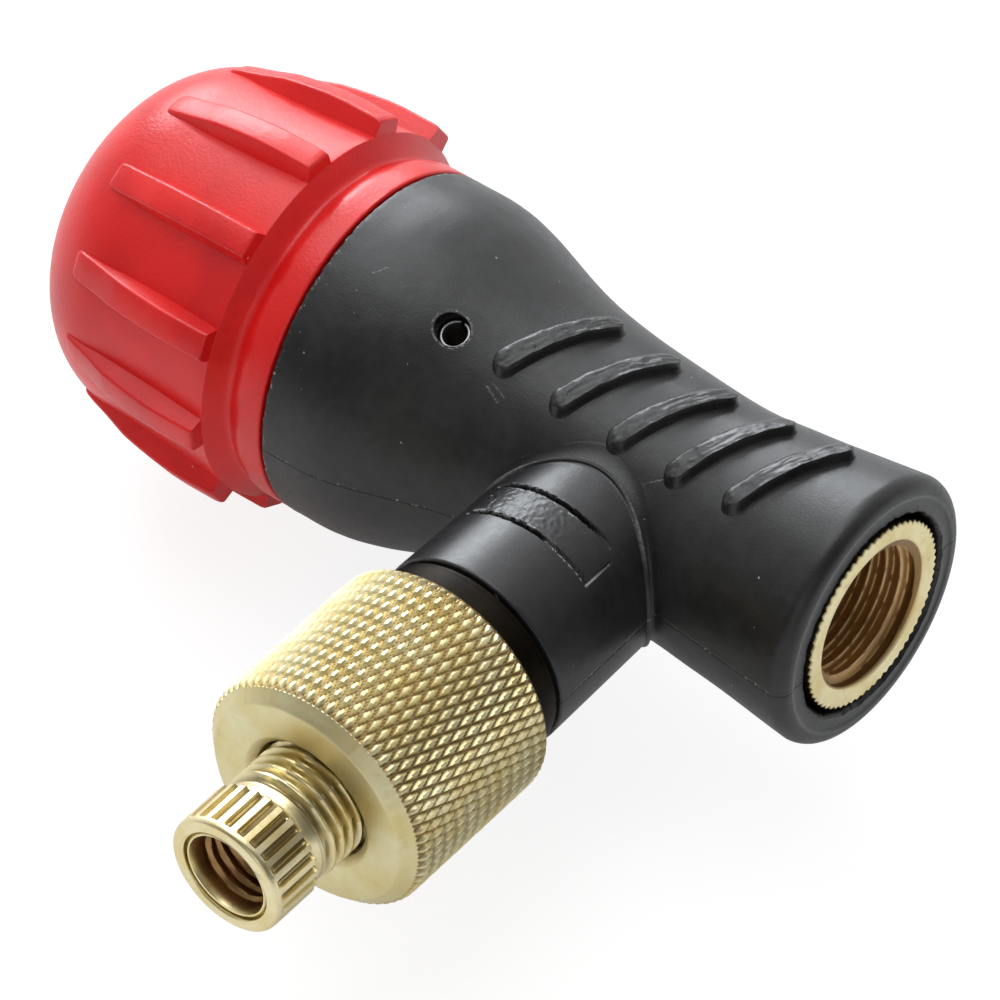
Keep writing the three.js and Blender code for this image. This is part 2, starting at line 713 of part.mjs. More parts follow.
function knobOutline() {
  const collarEnd = knobStart + COLLAR_LENGTH;
  const valley = collarEnd + VALLEY_LENGTH;
  return [
    [rearRadius, knobStart],
    [rearRadius, collarEnd],
    [rearRadius - VALLEY_SINK, valley],
    [barrelRadius - KNOB_EDGE, barrelStart - KNOB_EDGE],
    [barrelRadius, barrelStart],
    ...domeOutline(),
  ];
}

// The surface that the tops of the ribs lie on.
function ribCrest() {
  const start = barrelStart - KNOB_EDGE / 2;
  const crest = barrelRadius + RIB_HEIGHT;
  const fadeStart = start + RIB_LENGTH - RIB_FADE;
  return [
    [0, start],
    [crest - KNOB_EDGE, start],
    [crest, start + KNOB_EDGE],
    [crest, fadeStart],
    [domeRadius + RIB_HEIGHT / 2, domeStart],
    [domeRadius - KNOB_TAPER / 2, start + RIB_LENGTH],
    [0, start + RIB_LENGTH],
  ];
}

function knobRib(index) {
  const start = barrelStart - KNOB_EDGE / 2;
  const end = start + RIB_LENGTH - RIB_WIDTH / 2;
  const half = RIB_WIDTH / 2;
  const plan = new THREE.Shape();
  plan.moveTo(-half, start);
  plan.lineTo(half, start);
  plan.absarc(0, end, half, 0, Math.PI, false);
  const depth = KNOB_WALL + RIB_HEIGHT;
  const bar = new THREE.ExtrudeGeometry(plan, { depth, bevelEnabled: false, curveSegments: 5 });
  bar.translate(0, 0, barrelRadius - KNOB_WALL / 2);
  bar.rotateY((index / RIB_COUNT) * 2 * Math.PI - RIB_PHASE);
  return solidOf(bar);
}

function knobShell() {
  const bars = [];
  for (let i = 0; i < RIB_COUNT; i += 1) bars.push(knobRib(i));
  const ribs = join(...bars).intersect(turned(ribCrest(), FINE_TURN));
  const dome = turned([[0, knobStart], ...knobOutline()], FINE_TURN);
  const pocketRadius = HUB_DRIVE_RADIUS + RUNNING_GAP;
  return cut(join(dome, ribs), rod(pocketRadius, knobStart - PAST, hubEnd + SEAT_GAP, 6));
}

// ---- Chuck --------------------------------------------------------------------------------------------

function portGrooveFloor() {
  return nippleStart - SEAL_GAP + 2 * (PORT_RING_TUBE + SEAL_GAP);
}

function portRingRadius() {
  return (PORT_RADIUS + NIPPLE_INNER_RADIUS) / 2;
}

function sideNipple() {
  const grooveWall = PORT_RING_TUBE + SEAL_GAP;
  const snapFloor = NIPPLE_RADIUS - SNAP_RING_BITE;
  const depressorBore = DEPRESSOR_RADIUS + SEAT_GAP;
  return turned([
    [PORT_RADIUS, nippleStart],
    [portRingRadius() - grooveWall, nippleStart],
    [portRingRadius() - grooveWall, portGrooveFloor()],
    [portRingRadius() + grooveWall, portGrooveFloor()],
    [portRingRadius() + grooveWall, nippleStart],
    [NIPPLE_INNER_RADIUS, nippleStart],
    [NIPPLE_INNER_RADIUS, NIPPLE_SHOULDER_REACH],
    [NIPPLE_RADIUS, NIPPLE_SHOULDER_REACH],
    [NIPPLE_RADIUS, nippleFlangeStart],
    [NIPPLE_FLANGE_RADIUS, nippleFlangeStart],
    [NIPPLE_FLANGE_RADIUS, nippleFlangeEnd],
    [NIPPLE_RADIUS, nippleFlangeEnd],
    [NIPPLE_RADIUS, snapRingStart - SEAL_GAP],
    [snapFloor, snapRingStart - SEAL_GAP],
    [snapFloor, snapRingEnd + SEAL_GAP],
    [NIPPLE_RADIUS, snapRingEnd + SEAL_GAP],
    [NIPPLE_RADIUS, nippleEnd],
    [CHUCK_SEAL_RADIUS + SEAL_GAP, nippleEnd],
    [CHUCK_SEAL_RADIUS + SEAL_GAP, chuckSealStart - SEAL_GAP],
    [depressorBore, chuckSealStart - SEAL_GAP],
    [depressorBore, depressorStart - SEAL_GAP],
    [PORT_RADIUS, depressorStart - SEAL_GAP],
  ]);
}

function portSeal() {
  return ring(portRingRadius(), PORT_RING_TUBE, nippleStart - SEAL_GAP + PORT_RING_TUBE + SEAL_GAP);
}

// A spring ring, split at one place, that holds the nut on the nipple.
function nutSnapRing() {
  const inner = NIPPLE_RADIUS - SNAP_RING_BITE + SEAL_GAP;
  const outer = inner + SNAP_RING_DEPTH;
  const hoop = tube(inner, outer, snapRingStart, snapRingEnd);
  const slot = new THREE.BoxGeometry(outer * 2, SNAP_RING_WIDTH + PAST, SNAP_RING_SLOT);
  slot.translate(-outer, (snapRingStart + snapRingEnd) / 2, 0);
  return cut(hoop, solidOf(slot));
}

function chuckSeal() {
  return tube(CHUCK_SEAL_BORE, CHUCK_SEAL_RADIUS, chuckSealStart, chuckSealEnd);
}

// The finger that opens a spring valve, on a foot notched to let gas past.
function valveDepressor() {
  const foot = rod(DEPRESSOR_RADIUS, depressorStart, depressorEnd, COARSE_TURN);
  const pinEnd = depressorEnd + DEPRESSOR_PIN_LENGTH;
  const pin = turned(
    [
      [0, depressorStart],
      [DEPRESSOR_PIN_RADIUS, depressorStart],
      [DEPRESSOR_PIN_RADIUS, pinEnd - SEAL_GAP],
      [DEPRESSOR_PIN_RADIUS - SEAL_GAP, pinEnd],
      [0, pinEnd],
    ],
    16,
  );
  const notches = [];
  for (let i = 0; i < DEPRESSOR_NOTCHES; i += 1) {
    const angle = (i / DEPRESSOR_NOTCHES) * 2 * Math.PI;
    const from = depressorStart - PAST;
    const notch = rod(DEPRESSOR_NOTCH_RADIUS, from, depressorEnd + PAST, 12);
    notches.push(
      notch.translate([DEPRESSOR_RADIUS * Math.cos(angle), 0, DEPRESSOR_RADIUS * Math.sin(angle)]),
    );
  }
  return join(cut(foot, ...notches), pin);
}

function chuckNut() {
  const neckBore = NIPPLE_RADIUS + RUNNING_GAP;
  const snapInner = NIPPLE_RADIUS - SNAP_RING_BITE + SEAL_GAP;
  const snapBore = snapInner + SNAP_RING_DEPTH + SEAT_GAP;
  const threadStart = nippleEnd + SEAT_GAP;
  return turned(
    [
      [neckBore, nutStart],
      [NUT_RADIUS - NUT_CHAMFER_RADIAL / 2, nutStart],
      [NUT_RADIUS, nutStart + NUT_CHAMFER_LENGTH / 2],
      [NUT_RADIUS, nutEnd - NUT_CHAMFER_LENGTH],
      [NUT_RADIUS - NUT_CHAMFER_RADIAL, nutEnd],
      [VALVE_THREAD_RADIUS + NUT_COUNTERSINK_STEP, nutEnd],
      [VALVE_THREAD_RADIUS, nutEnd - NUT_COUNTERSINK_STEP],
      [VALVE_THREAD_RADIUS, threadStart],
      [neckBore, threadStart],
      [neckBore, snapRingEnd + SEAL_GAP],
      [snapBore, snapRingEnd + SEAL_GAP],
      [snapBore, snapRingStart - SEAL_GAP],
      [neckBore, snapRingStart - SEAL_GAP],
    ],
    FINE_TURN,
  );
}

// The straight-splined grip of the adapter, as a toothed outline pushed along the axis.
function splinedGrip() {
  const outline = new THREE.Shape();
  const teeth = ADAPTER_SPLINES;
  for (let i = 0; i < teeth; i += 1) {
    const centre = (i / teeth) * 2 * Math.PI;
    const step = (2 * Math.PI) / teeth / 4;
    const floor = ADAPTER_FACE_RADIUS - ADAPTER_SPLINE_DEPTH;
    const corners = [
      [floor, centre - step * 1.5],
      [ADAPTER_FACE_RADIUS, centre - step * 0.6],
      [ADAPTER_FACE_RADIUS, centre + step * 0.6],
      [floor, centre + step * 1.5],
    ];
    corners.forEach(([radius, angle], k) => {
      const x = radius * Math.cos(angle);
      const y = radius * Math.sin(angle);
      if (i + k === 0) outline.moveTo(x, y);
      else outline.lineTo(x, y);
    });
  }
  const grip = new THREE.ExtrudeGeometry(outline, {
    depth: ADAPTER_SPLINE_LENGTH + SEAL_GAP,
    bevelEnabled: false,
  });
  grip.rotateX(-QUARTER_TURN);
  grip.translate(0, splineStart, 0);
  return solidOf(grip);
}

function prestaAdapter() {
  const sealPocket = ADAPTER_SEAL_RADIUS + SEAL_GAP;
  const blank = turned([
    [0, adapterStart],
    [adapterThreadRadius - ADAPTER_THREAD_CHAMFER, adapterStart],
    [adapterThreadRadius, adapterStart + ADAPTER_THREAD_CHAMFER],
    [adapterThreadRadius, adapterThreadEnd - ADAPTER_THREAD_CHAMFER],
    [ADAPTER_NECK_RADIUS, adapterThreadEnd],
    [ADAPTER_NECK_RADIUS, splineStart + SEAL_GAP],
    [ADAPTER_NECK_RADIUS, splineEnd],
    [ADAPTER_FACE_RADIUS, splineEnd],
    [ADAPTER_FACE_RADIUS, adapterEnd],
    [0, adapterEnd],
  ]);
  const bore = turned([
    [0, adapterStart - PAST],
    [ADAPTER_GAS_BORE, adapterStart - PAST],
    [ADAPTER_GAS_BORE, adapterSealStart - SEAL_GAP],
    [sealPocket, adapterSealStart - SEAL_GAP],
    [sealPocket, adapterSealEnd + SEAL_GAP],
    [ADAPTER_BORE_RADIUS, adapterSealEnd + SEAL_GAP],
    [ADAPTER_BORE_RADIUS, adapterEnd - ADAPTER_MOUTH_DEPTH],
    [ADAPTER_MOUTH_RADIUS, adapterEnd - ADAPTER_MOUTH_DEPTH],
    [ADAPTER_MOUTH_RADIUS, adapterEnd + PAST],
    [0, adapterEnd + PAST],
  ]);
  return cut(join(blank, splinedGrip()), bore);
}

function adapterSeal() {
  return tube(ADAPTER_SEAL_BORE, ADAPTER_SEAL_RADIUS, adapterSealStart, adapterSealEnd, COARSE_TURN);
}

// ---- Assembly -----------------------------------------------------------------------------------------

function material(color, roughness, metalness) {
  return new THREE.MeshStandardMaterial({ color, roughness, metalness });
}

const blackNylon = material(0x3a3a3a, 0.5, 0);
const redPlastic = material(0xcc2e28, 0.35, 0);
const brass = material(0xc9ae62, 0.28, 1);
const steel = material(0xb9bcc0, 0.3, 1);
const rubber = material(0x1c1c1c, 0.8, 0);
const whitePolymer = material(0xe6e2d4, 0.5, 0);

function piece(name, solid, surface) {
  const mesh = new THREE.Mesh(geometryOf(solid), surface);
  mesh.name = name;
  return mesh;
}

// The main axis runs along +Y in its group and is laid so that depth points along -X.
const mainAxis = new THREE.Group();
mainAxis.rotation.z = QUARTER_TURN;
mainAxis.add(
  piece("body_housing", bodyHousing(), blackNylon),
  piece("cartridge_insert", cartridgeInsert(), brass),
  piece("cartridge_seal", cartridgeSeal(), rubber),
  piece("piercing_pin", piercingPin(), steel),
  piece("core_seal", coreSealRing(), rubber),
  piece("valve_block", valveBlock(), brass),
  piece("valve_seat", valveSeat(), whitePolymer),
  piece("valve_stem", valveStem(), steel),
  piece("stem_tip_seal", stemTipSeal(), rubber),
  piece("stem_ring_front", stemRing(0), rubber),
  piece("stem_ring_rear", stemRing(1), rubber),
  piece("thrust_washer", thrustWasher(), whitePolymer),
  piece("knob_hub", knobHub(), brass),
  piece("hub_dust_seal", hubDustSeal(), rubber),
  piece("retaining_pin", retainingPin(), steel),
  piece("knob_shell", knobShell(), redPlastic),
);

// The chuck axis runs along +Y in its group and is laid so that reach points along -Y.
const chuckAxis = new THREE.Group();
chuckAxis.position.x = -portDepth;
chuckAxis.rotation.x = Math.PI;
chuckAxis.add(
  piece("side_nipple", sideNipple(), brass),
  piece("port_seal", portSeal(), rubber),
  piece("nut_snap_ring", nutSnapRing(), steel),
  piece("chuck_seal", chuckSeal(), rubber),
  piece("valve_depressor", valveDepressor(), brass),
  piece("chuck_nut", chuckNut(), brass),
  piece("presta_adapter", prestaAdapter(), brass),
  piece("adapter_seal", adapterSeal(), rubber),
);

// The whole stands with its lowest point at height 0, centred over the origin.
const inflator = new THREE.Group();
inflator.add(mainAxis, chuckAxis);
inflator.updateMatrixWorld(true);
const extent = new THREE.Box3().setFromObject(inflator);
const centre = extent.getCenter(new THREE.Vector3());
inflator.position.set(-centre.x, -centre.y, -extent.min.z);

export default inflator;
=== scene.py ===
"""The looks of the inflator head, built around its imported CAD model.

Sizes in this file are millimetres in the CAD frame, and become metres where a mesh is made. A place on
the main axis is a depth behind the mouth, and a place on the chuck's axis is a reach from the main axis.
"""

import logging
import math
from collections.abc import Callable, Sequence
from dataclasses import dataclass
from enum import Enum
from functools import partial

import bpy
from mathutils import Matrix, Vector, noise


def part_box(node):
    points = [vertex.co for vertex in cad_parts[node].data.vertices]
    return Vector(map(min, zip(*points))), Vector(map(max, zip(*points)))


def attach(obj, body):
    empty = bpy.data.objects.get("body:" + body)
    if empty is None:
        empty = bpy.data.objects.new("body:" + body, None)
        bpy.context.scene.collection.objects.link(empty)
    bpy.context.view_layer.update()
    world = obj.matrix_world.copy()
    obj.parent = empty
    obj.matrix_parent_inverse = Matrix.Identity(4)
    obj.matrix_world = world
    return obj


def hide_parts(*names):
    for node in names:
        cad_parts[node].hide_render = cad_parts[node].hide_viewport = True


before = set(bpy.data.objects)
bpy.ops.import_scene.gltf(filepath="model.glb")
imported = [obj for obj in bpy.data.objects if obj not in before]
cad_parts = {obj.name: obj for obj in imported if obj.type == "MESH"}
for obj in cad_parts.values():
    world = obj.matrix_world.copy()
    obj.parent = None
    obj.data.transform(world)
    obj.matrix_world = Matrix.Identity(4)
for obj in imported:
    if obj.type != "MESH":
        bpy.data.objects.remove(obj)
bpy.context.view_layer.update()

LOG = logging.getLogger("inflator")
MM = 0.001
TURN = 2 * math.pi
QUARTER = math.pi / 2

Point = tuple[float, float]
Place = tuple[float, float, float]
Polar = tuple[float, float, float]
Colour = tuple[float, float, float]
Sockets = dict[str | int, object]


# ---- Axes and places ---------------------------------------------------------------------------------


class Axis(Enum):
    """The two axes that pieces are turned about."""

    MAIN = "main"
    CHUCK = "chuck"

    @property
    def matrix(self) -> Matrix:
        """The frame of a piece that was turned about its own Z, as it stands in the part.

        Returns:
            The matrix that puts such a piece in its place.
        """
        low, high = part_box("cartridge_insert")
        middle = (low + high) / 2
        if self is Axis.MAIN:
            rows = ((0, 0, -1, high.x), (0, 1, 0, middle.y), (1, 0, 0, middle.z), (0, 0, 0, 1))
        else:
            nut_low, nut_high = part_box("chuck_nut")
            across = (nut_low.x + nut_high.x) / 2
            rows = ((1, 0, 0, across), (0, 0, -1, middle.y), (0, 1, 0, middle.z), (0, 0, 0, 1))
        return Matrix(rows)


MAIN_PLACE = Axis.MAIN.matrix
CHUCK_PLACE = Axis.CHUCK.matrix
MOUTH_X = MAIN_PLACE.translation.x / MM
AXIS_Y = MAIN_PLACE.translation.y / MM
AXIS_Z = MAIN_PLACE.translation.z / MM
CHUCK_X = CHUCK_PLACE.translation.x / MM
CHUCK_DEPTH = MOUTH_X - CHUCK_X

PIN_DEPTH = 28.4
PIN_ANGLE = math.radians(112)
PIN_OUT = Vector((0, math.cos(PIN_ANGLE), math.sin(PIN_ANGLE)))
PIN_REACHES = (5, 14)


def pin_line(height: float) -> tuple[Vector, Vector]:
    """The line of the pin hole through the shell's wall.

    Args:
        height: The height of the main axis in the coordinates that are wanted.

    Returns:
        The line's inner end and its outer end.
    """
    foot = Vector((MOUTH_X - PIN_DEPTH, AXIS_Y, height))
    return foot + PIN_OUT * PIN_REACHES[0], foot + PIN_OUT * PIN_REACHES[1]


# ---- Outlines ----------------------------------------------------------------------------------------

# A corner is rounded as if it were at least this blunt, and over no more than this share of its sides.
LEAST_TANGENT = 0.2
MOST_OF_SIDE = 0.48
# The square under a root is never taken to be less than this.
LEAST_SQUARE = 0.2


def wobble(*place: float) -> float:
    """A repeatable wobble from -1 to 1 at a place."""
    return noise.noise(Vector((place + (0.0, 0.0))[:3]))


def ripple(angle: float, fineness: float, row: float = 0.0) -> float:
    """A repeatable wobble from -1 to 1 at an angle on a circle, finer for a larger fineness."""
    return wobble(math.cos(angle) * fineness, math.sin(angle) * fineness, row)


def chord(radius: float, across: float) -> float:
    """How high a circle of this radius stands over a place that lies this far from its middle."""
    return math.sqrt(max(LEAST_SQUARE, radius * radius - across * across))


def zigzag(share: "Number") -> "Number":
    """A height that rises evenly from 0 to 1 and falls back over a share from 0 to 1."""
    return 1 - abs(2 * share - 1)


def blend(low: float, high: float, value: float) -> float:
    """A smooth step.

    Args:
        low: Where the step starts.
        high: Where it ends.
        value: The place on it.

    Returns:
        0 before low, 1 after high, and an easy curve between them.
    """
    share = min(1.0, max(0.0, (value - low) / (high - low)))
    return share * share * (3 - 2 * share)


def between(points: Sequence[Point], place: float) -> float:
    """Reads a table of (place, value) points.

    Args:
        points: The table, in rising places.
        place: Where to read it.

    Returns:
        The value there, in a straight line between the points.
    """
    for (start, first), (end, last) in zip(points, points[1:]):
        if place <= end:
            share = min(1.0, max(0.0, (place - start) / (end - start)))
            return first + (last - first) * share
    return points[-1][1]


def spline(points: Sequence[Point], steps: int) -> list[Point]:
    """Draws the smooth curve that the CAD outline follows.

    Args:
        points: Its control points.
        steps: How many pieces to cut it into.

    Returns:
        The points along it, both ends with them.
    """
    last = len(points) - 1
    curve = []
    for index in range(steps + 1):
        whole, share = divmod(index / steps * last, 1)
        at = min(int(whole), last - 1)
        share = share if whole < last else 1.0
        p = [points[min(max(at + shift, 0), last)] for shift in (-1, 0, 1, 2)]
        point = []
        for axis in (0, 1):
            before, start, end, after = (q[axis] for q in p)
            leave, arrive = (end - before) / 2, (after - start) / 2
            point.append(
                (2 * start - 2 * end + leave + arrive) * share**3
                + (3 * end - 3 * start - 2 * leave - arrive) * share**2
                + leave * share
                + start
            )
        curve.append((point[0], point[1]))
    return curve


def rounded(corners: Sequence[tuple[float, ...]], steps: int = 4) -> list[Point]:
    """Rounds the corners of an outline.

    Args:
        corners: (radius, along) points, with a third number where the corner is rounded by that much.
        steps: How many pieces each rounding has.

    Returns:
        The outline's points.
    """
    outline = []
    for index, corner in enumerate(corners):
        here = Vector(corner[:2])
        if len(corner) == 2 or index in (0, len(corners) - 1):
            outline.append((here.x, here.y))
            continue
        back = Vector(corners[index - 1][:2]) - here
        on = Vector(corners[index + 1][:2]) - here
        reach = corner[2] / max(math.tan(back.angle(on) / 2), LEAST_TANGENT)
        reach = min(reach, back.length * MOST_OF_SIDE, on.length * MOST_OF_SIDE)
        start, end = here + back.normalized() * reach, here + on.normalized() * reach
        for step in range(steps + 1):
            share = step / steps
            point = start * (1 - share) ** 2 + here * 2 * share * (1 - share) + end * share**2
            outline.append((point.x, point.y))
    return outline


def stepped(outline: Sequence[Point], spacing: float) -> list[Point]:
    """Adds points to an outline's long pieces.

    Args:
        outline: Its points.
        spacing: The longest piece that stays.

    Returns:
        The same outline in shorter pieces.
    """
    cut = [outline[0]]
    for start, end in zip(outline, outline[1:]):
        count = max(1, math.ceil(math.dist(start, end) / spacing - 1e-6))
        for step in range(1, count + 1):
            share = step / count
            cut.append((start[0] + (end[0] - start[0]) * share, start[1] + (end[1] - start[1]) * share))
    return cut


# ---- The bench: Blender's own tools, one piece at a time ----------------------------------------------

# The plain ring that pieces with their own rings start from, in millimetres.
BLANK_RADIUS = 10
BLANK_TUBE = 3
# Points that are closer than this are merged, in metres.
DOUBLES = 1e-7


def at(radius: float, angle: float, along: float) -> Vector:
    """The point in metres at a radius, an angle and a place along Z in millimetres."""
    return Vector((radius * math.cos(angle), radius * math.sin(angle), along)) * MM


class Bench:
    """Makes and finishes meshes with Blender's modelling operators."""

    @staticmethod
    def only(*pieces: bpy.types.Object) -> None:
        """Leaves just these pieces selected, the first of them active.

        Args:
            pieces: The pieces, or none to leave nothing selected.
        """
        if bpy.context.mode != "OBJECT":
            bpy.ops.object.mode_set(mode="OBJECT")
        bpy.ops.object.select_all(action="DESELECT")
        for piece in pieces:
            piece.select_set(True)
        if pieces:
            bpy.context.view_layer.objects.active = pieces[0]

    @staticmethod
    def start(name: str) -> bpy.types.Object:
        """Names the object that was just made.

        Args:
            name: The name that it and its mesh get.

        Returns:
            The object.
        """
        piece = bpy.context.view_layer.objects.active
        piece.name = name
        piece.data.name = name
        return piece

    @classmethod
    def turn(cls, name: str, outline: Sequence[Point], steps: int) -> bpy.types.Object:
        """Draws an outline by extruding a point along it, and spins it about Z.

        Args:
            name: The piece's name.
            outline: Its (radius, along) points in millimetres.
            steps: How many faces go round.

        Returns:
            The piece, closed, with its faces out.
        """
        cls.only()
        bpy.ops.mesh.primitive_plane_add(size=MM)
        piece = cls.start(name)
        bpy.ops.object.mode_set(mode="EDIT")
        bpy.ops.mesh.select_all(action="SELECT")
        bpy.ops.mesh.merge(type="CENTER")
        bpy.ops.transform.translate(value=(outline[0][0] * MM, 0, outline[0][1] * MM))
        for here, after in zip(outline, outline[1:]):
            step = ((after[0] - here[0]) * MM, 0, (after[1] - here[1]) * MM)
            bpy.ops.mesh.extrude_vertices_move(TRANSFORM_OT_translate={"value": step})
        bpy.ops.mesh.select_all(action="SELECT")
        bpy.ops.mesh.spin(steps=steps, angle=TURN, center=(0, 0, 0), axis=(0, 0, 1))
        cls.tidy_up()
        return piece

    @classmethod
    def turn_rings(
        cls, name: str, rings: int, steps: int, ring: Callable[[int, float], Polar]
    ) -> bpy.types.Object:
        """Spins a plain blank of rings, the last joined to the first, then sets each of its points.

        Args:
            name: The piece's name.
            rings: How many rings it has.
            steps: How many faces go round.
            ring: Gives (radius, angle, along) for a ring's number and an angle in radians.

        Returns:
            The piece.
        """
        turns = [TURN * index / rings for index in range(rings + 1)]
        blank = [(BLANK_RADIUS + BLANK_TUBE * math.cos(t), BLANK_TUBE * math.sin(t)) for t in turns]
        piece = cls.turn(name, blank, steps)
        for vertex in piece.data.vertices:
            x, y, z = vertex.co / MM
            index = round(math.atan2(z, math.hypot(x, y) - BLANK_RADIUS) / TURN * rings) % rings
            column = round(math.atan2(y, x) / TURN * steps)
            vertex.co = at(*ring(index, column / steps * TURN))
        cls.only(piece)
        bpy.ops.object.mode_set(mode="EDIT")
        cls.tidy_up()
        return piece

    @staticmethod
    def tidy_up() -> None:
        """Merges doubles, turns the faces out and leaves edit mode."""
        bpy.ops.mesh.select_all(action="SELECT")
        bpy.ops.mesh.remove_doubles(threshold=DOUBLES)
        bpy.ops.mesh.select_all(action="SELECT")
        bpy.ops.mesh.normals_make_consistent(inside=False)
        bpy.ops.object.mode_set(mode="OBJECT")

    @staticmethod
    def warp(piece: bpy.types.Object, move: Callable[[float, float, float], Polar]) -> None:
        """Moves each point of a piece.

        Args:
            piece: The piece, still turned about its own Z.
            move: Gives a point's new radius, angle and place along Z for its old ones, in millimetres.
        """
        for vertex in piece.data.vertices:
            x, y, z = vertex.co / MM
            vertex.co = at(*move(math.hypot(x, y), math.atan2(y, x), z))

    @classmethod
    def place(cls, piece: bpy.types.Object, place: Matrix) -> None:
        """Sets a piece in the part, with its place in its mesh.

        Args:
            piece: The piece.
            place: Where it goes.
        """
        cls.only(piece)
        piece.matrix_world = place
        bpy.ops.object.transform_apply(location=True, rotation=True, scale=True)

    @classmethod
    def shade(cls, piece: bpy.types.Object, degrees: float) -> None:
        """Smooths a piece, apart from edges sharper than this many degrees."""
        cls.only(piece)
        bpy.ops.object.shade_smooth_by_angle(angle=math.radians(degrees))

    @classmethod
    def modify(cls, piece: bpy.types.Object, kind: str, **settings: object) -> None:
        """Adds a modifier to a piece and applies it.

        Args:
            piece: The piece.
            kind: The modifier's type.
            settings: What is set on it.
        """
        cls.only(piece)
        modifier = piece.modifiers.new(kind.title(), kind)
        for setting, value in settings.items():
            setattr(modifier, setting, value)
        bpy.ops.object.modifier_apply(modifier=modifier.name)

    @classmethod
    def copy(cls, piece: bpy.types.Object, name: str) -> bpy.types.Object:
        """Copies a piece.

        Args:
            piece: The piece.
            name: The copy's name.

        Returns:
            The copy, with its own mesh.
        """
        cls.only(piece)
        bpy.ops.object.duplicate(linked=False)
        return cls.start(name)

    @classmethod
    def join(cls, pieces: Sequence[bpy.types.Object], name: str) -> bpy.types.Object:
        """Joins pieces into the first of them.

        Args:
            pieces: The pieces.
            name: The name of what they become.

        Returns:
            The joined piece.
        """
        cls.only(*pieces)
        bpy.ops.object.join()
        return cls.start(name)

    @classmethod
    def cut(cls, piece: bpy.types.Object, tool: bpy.types.Object) -> None:
        """Takes the shape of a tool out of a piece, and removes the tool."""
        cls.modify(piece, "BOOLEAN", operation="DIFFERENCE", solver="EXACT", object=tool)
        bpy.data.objects.remove(tool)

    @classmethod
    def bore(cls, piece: bpy.types.Object, start: Vector, end: Vector, radius: float) -> None:
        """Bores a round hole from one point to another, in millimetres.

        Args:
            piece: The piece.
            start: The middle of the hole's one end.
            end: The middle of its other end.
            radius: The hole's radius.
        """
        cls.only()
        run = end - start
        bpy.ops.mesh.primitive_cylinder_add(
            vertices=48, radius=radius * MM, depth=run.length * MM, location=(start + end) / 2 * MM
        )
        drill = cls.start("drill")
        drill.rotation_euler = run.to_track_quat("Z", "Y").to_euler()
        bpy.ops.object.transform_apply(location=True, rotation=True, scale=True)
        cls.cut(piece, drill)

    @classmethod
    def patch(
        cls,
        name: str,
        cells: tuple[int, int],
        place: Callable[[float, float], Vector],
        thickness: float,
    ) -> bpy.types.Object:
        """Lays a grid on a surface and gives it thickness.

        Args:
            name: The piece's name.
            cells: How many cells it has along and across.
            place: Gives the point, in millimetres, for two shares from -1 to 1.
            thickness: How far its back goes in, in millimetres.

        Returns:
            The piece.
        """
        cls.only()
        bpy.ops.mesh.primitive_grid_add(x_subdivisions=cells[0], y_subdivisions=cells[1], size=2)
        piece = cls.start(name)
        for vertex in piece.data.vertices:
            vertex.co = place(vertex.co.x, vertex.co.y) * MM
        cls.modify(piece, "SOLIDIFY", thickness=thickness * MM, offset=-1)
        return piece


# ---- Shader graphs -----------------------------------------------------------------------------------

Number = "Wire | float"


class Wire:
    """A shader socket: arithmetic on it adds Math nodes."""

    def __init__(self, graph: "Graph", socket: bpy.types.NodeSocket) -> None:
        """Wraps a socket of a graph."""
        self.graph = graph
        self.socket = socket

    def __add__(self, other: Number) -> "Wire":
        """self + other."""
        return self.graph.math("ADD", self, other)

    def __sub__(self, other: Number) -> "Wire":
        """self - other."""
        return self.graph.math("SUBTRACT", self, other)

    def __mul__(self, other: Number) -> "Wire":
        """self * other."""
        return self.graph.math("MULTIPLY", self, other)

    def __truediv__(self, other: Number) -> "Wire":
        """self / other."""
        return self.graph.math("DIVIDE", self, other)

    def __pow__(self, other: Number) -> "Wire":
        """self ** other."""
        return self.graph.math("POWER", self, other)

    def __rsub__(self, other: float) -> "Wire":
        """other - self."""
        return self.graph.math("SUBTRACT", other, self)

    def __abs__(self) -> "Wire":
        """The size of self."""
        return self.graph.math("ABSOLUTE", self)

    __radd__ = __add__
    __rmul__ = __mul__

    def step(self, low: float, high: float) -> "Wire":
        """A smooth step.

        Args:
            low: Where the step is 0; it may be the larger of the two.
            high: Where it is 1.

        Returns:
            0 on the low side, 1 on the high side, and an easy curve between them.
        """
        settings = {"interpolation_type": "SMOOTHSTEP", "clamp": True}
        if low < high:
            ends = {"From Min": low, "From Max": high}
        else:
            ends = {"From Min": high, "From Max": low, "To Min": 1.0, "To Max": 0.0}
        return self.graph.node("ShaderNodeMapRange", settings, {"Value": self, **ends})

    def within(self, low: float, high: float, soft: float) -> "Wire":
        """A mask that is 1 between low and high, with an edge of this half width at both."""
        return self.step(low - soft, low + soft) * self.step(high + soft, high - soft)

    def near(self, place: Number, half: float, full: float) -> "Wire":
        """A mask that is 1 nearer to a place than full, and 0 farther from it than half."""
        return abs(self - place).step(half, full)

    def most(self, other: Number) -> "Wire":
        """The larger of self and other."""
        return self.graph.math("MAXIMUM", self, other)

    def least(self, other: Number) -> "Wire":
        """The smaller of self and other."""
        return self.graph.math("MINIMUM", self, other)

    def beside(self, output: str) -> "Wire":
        """Another output of the same node."""
        return Wire(self.graph, self.socket.node.outputs[output])


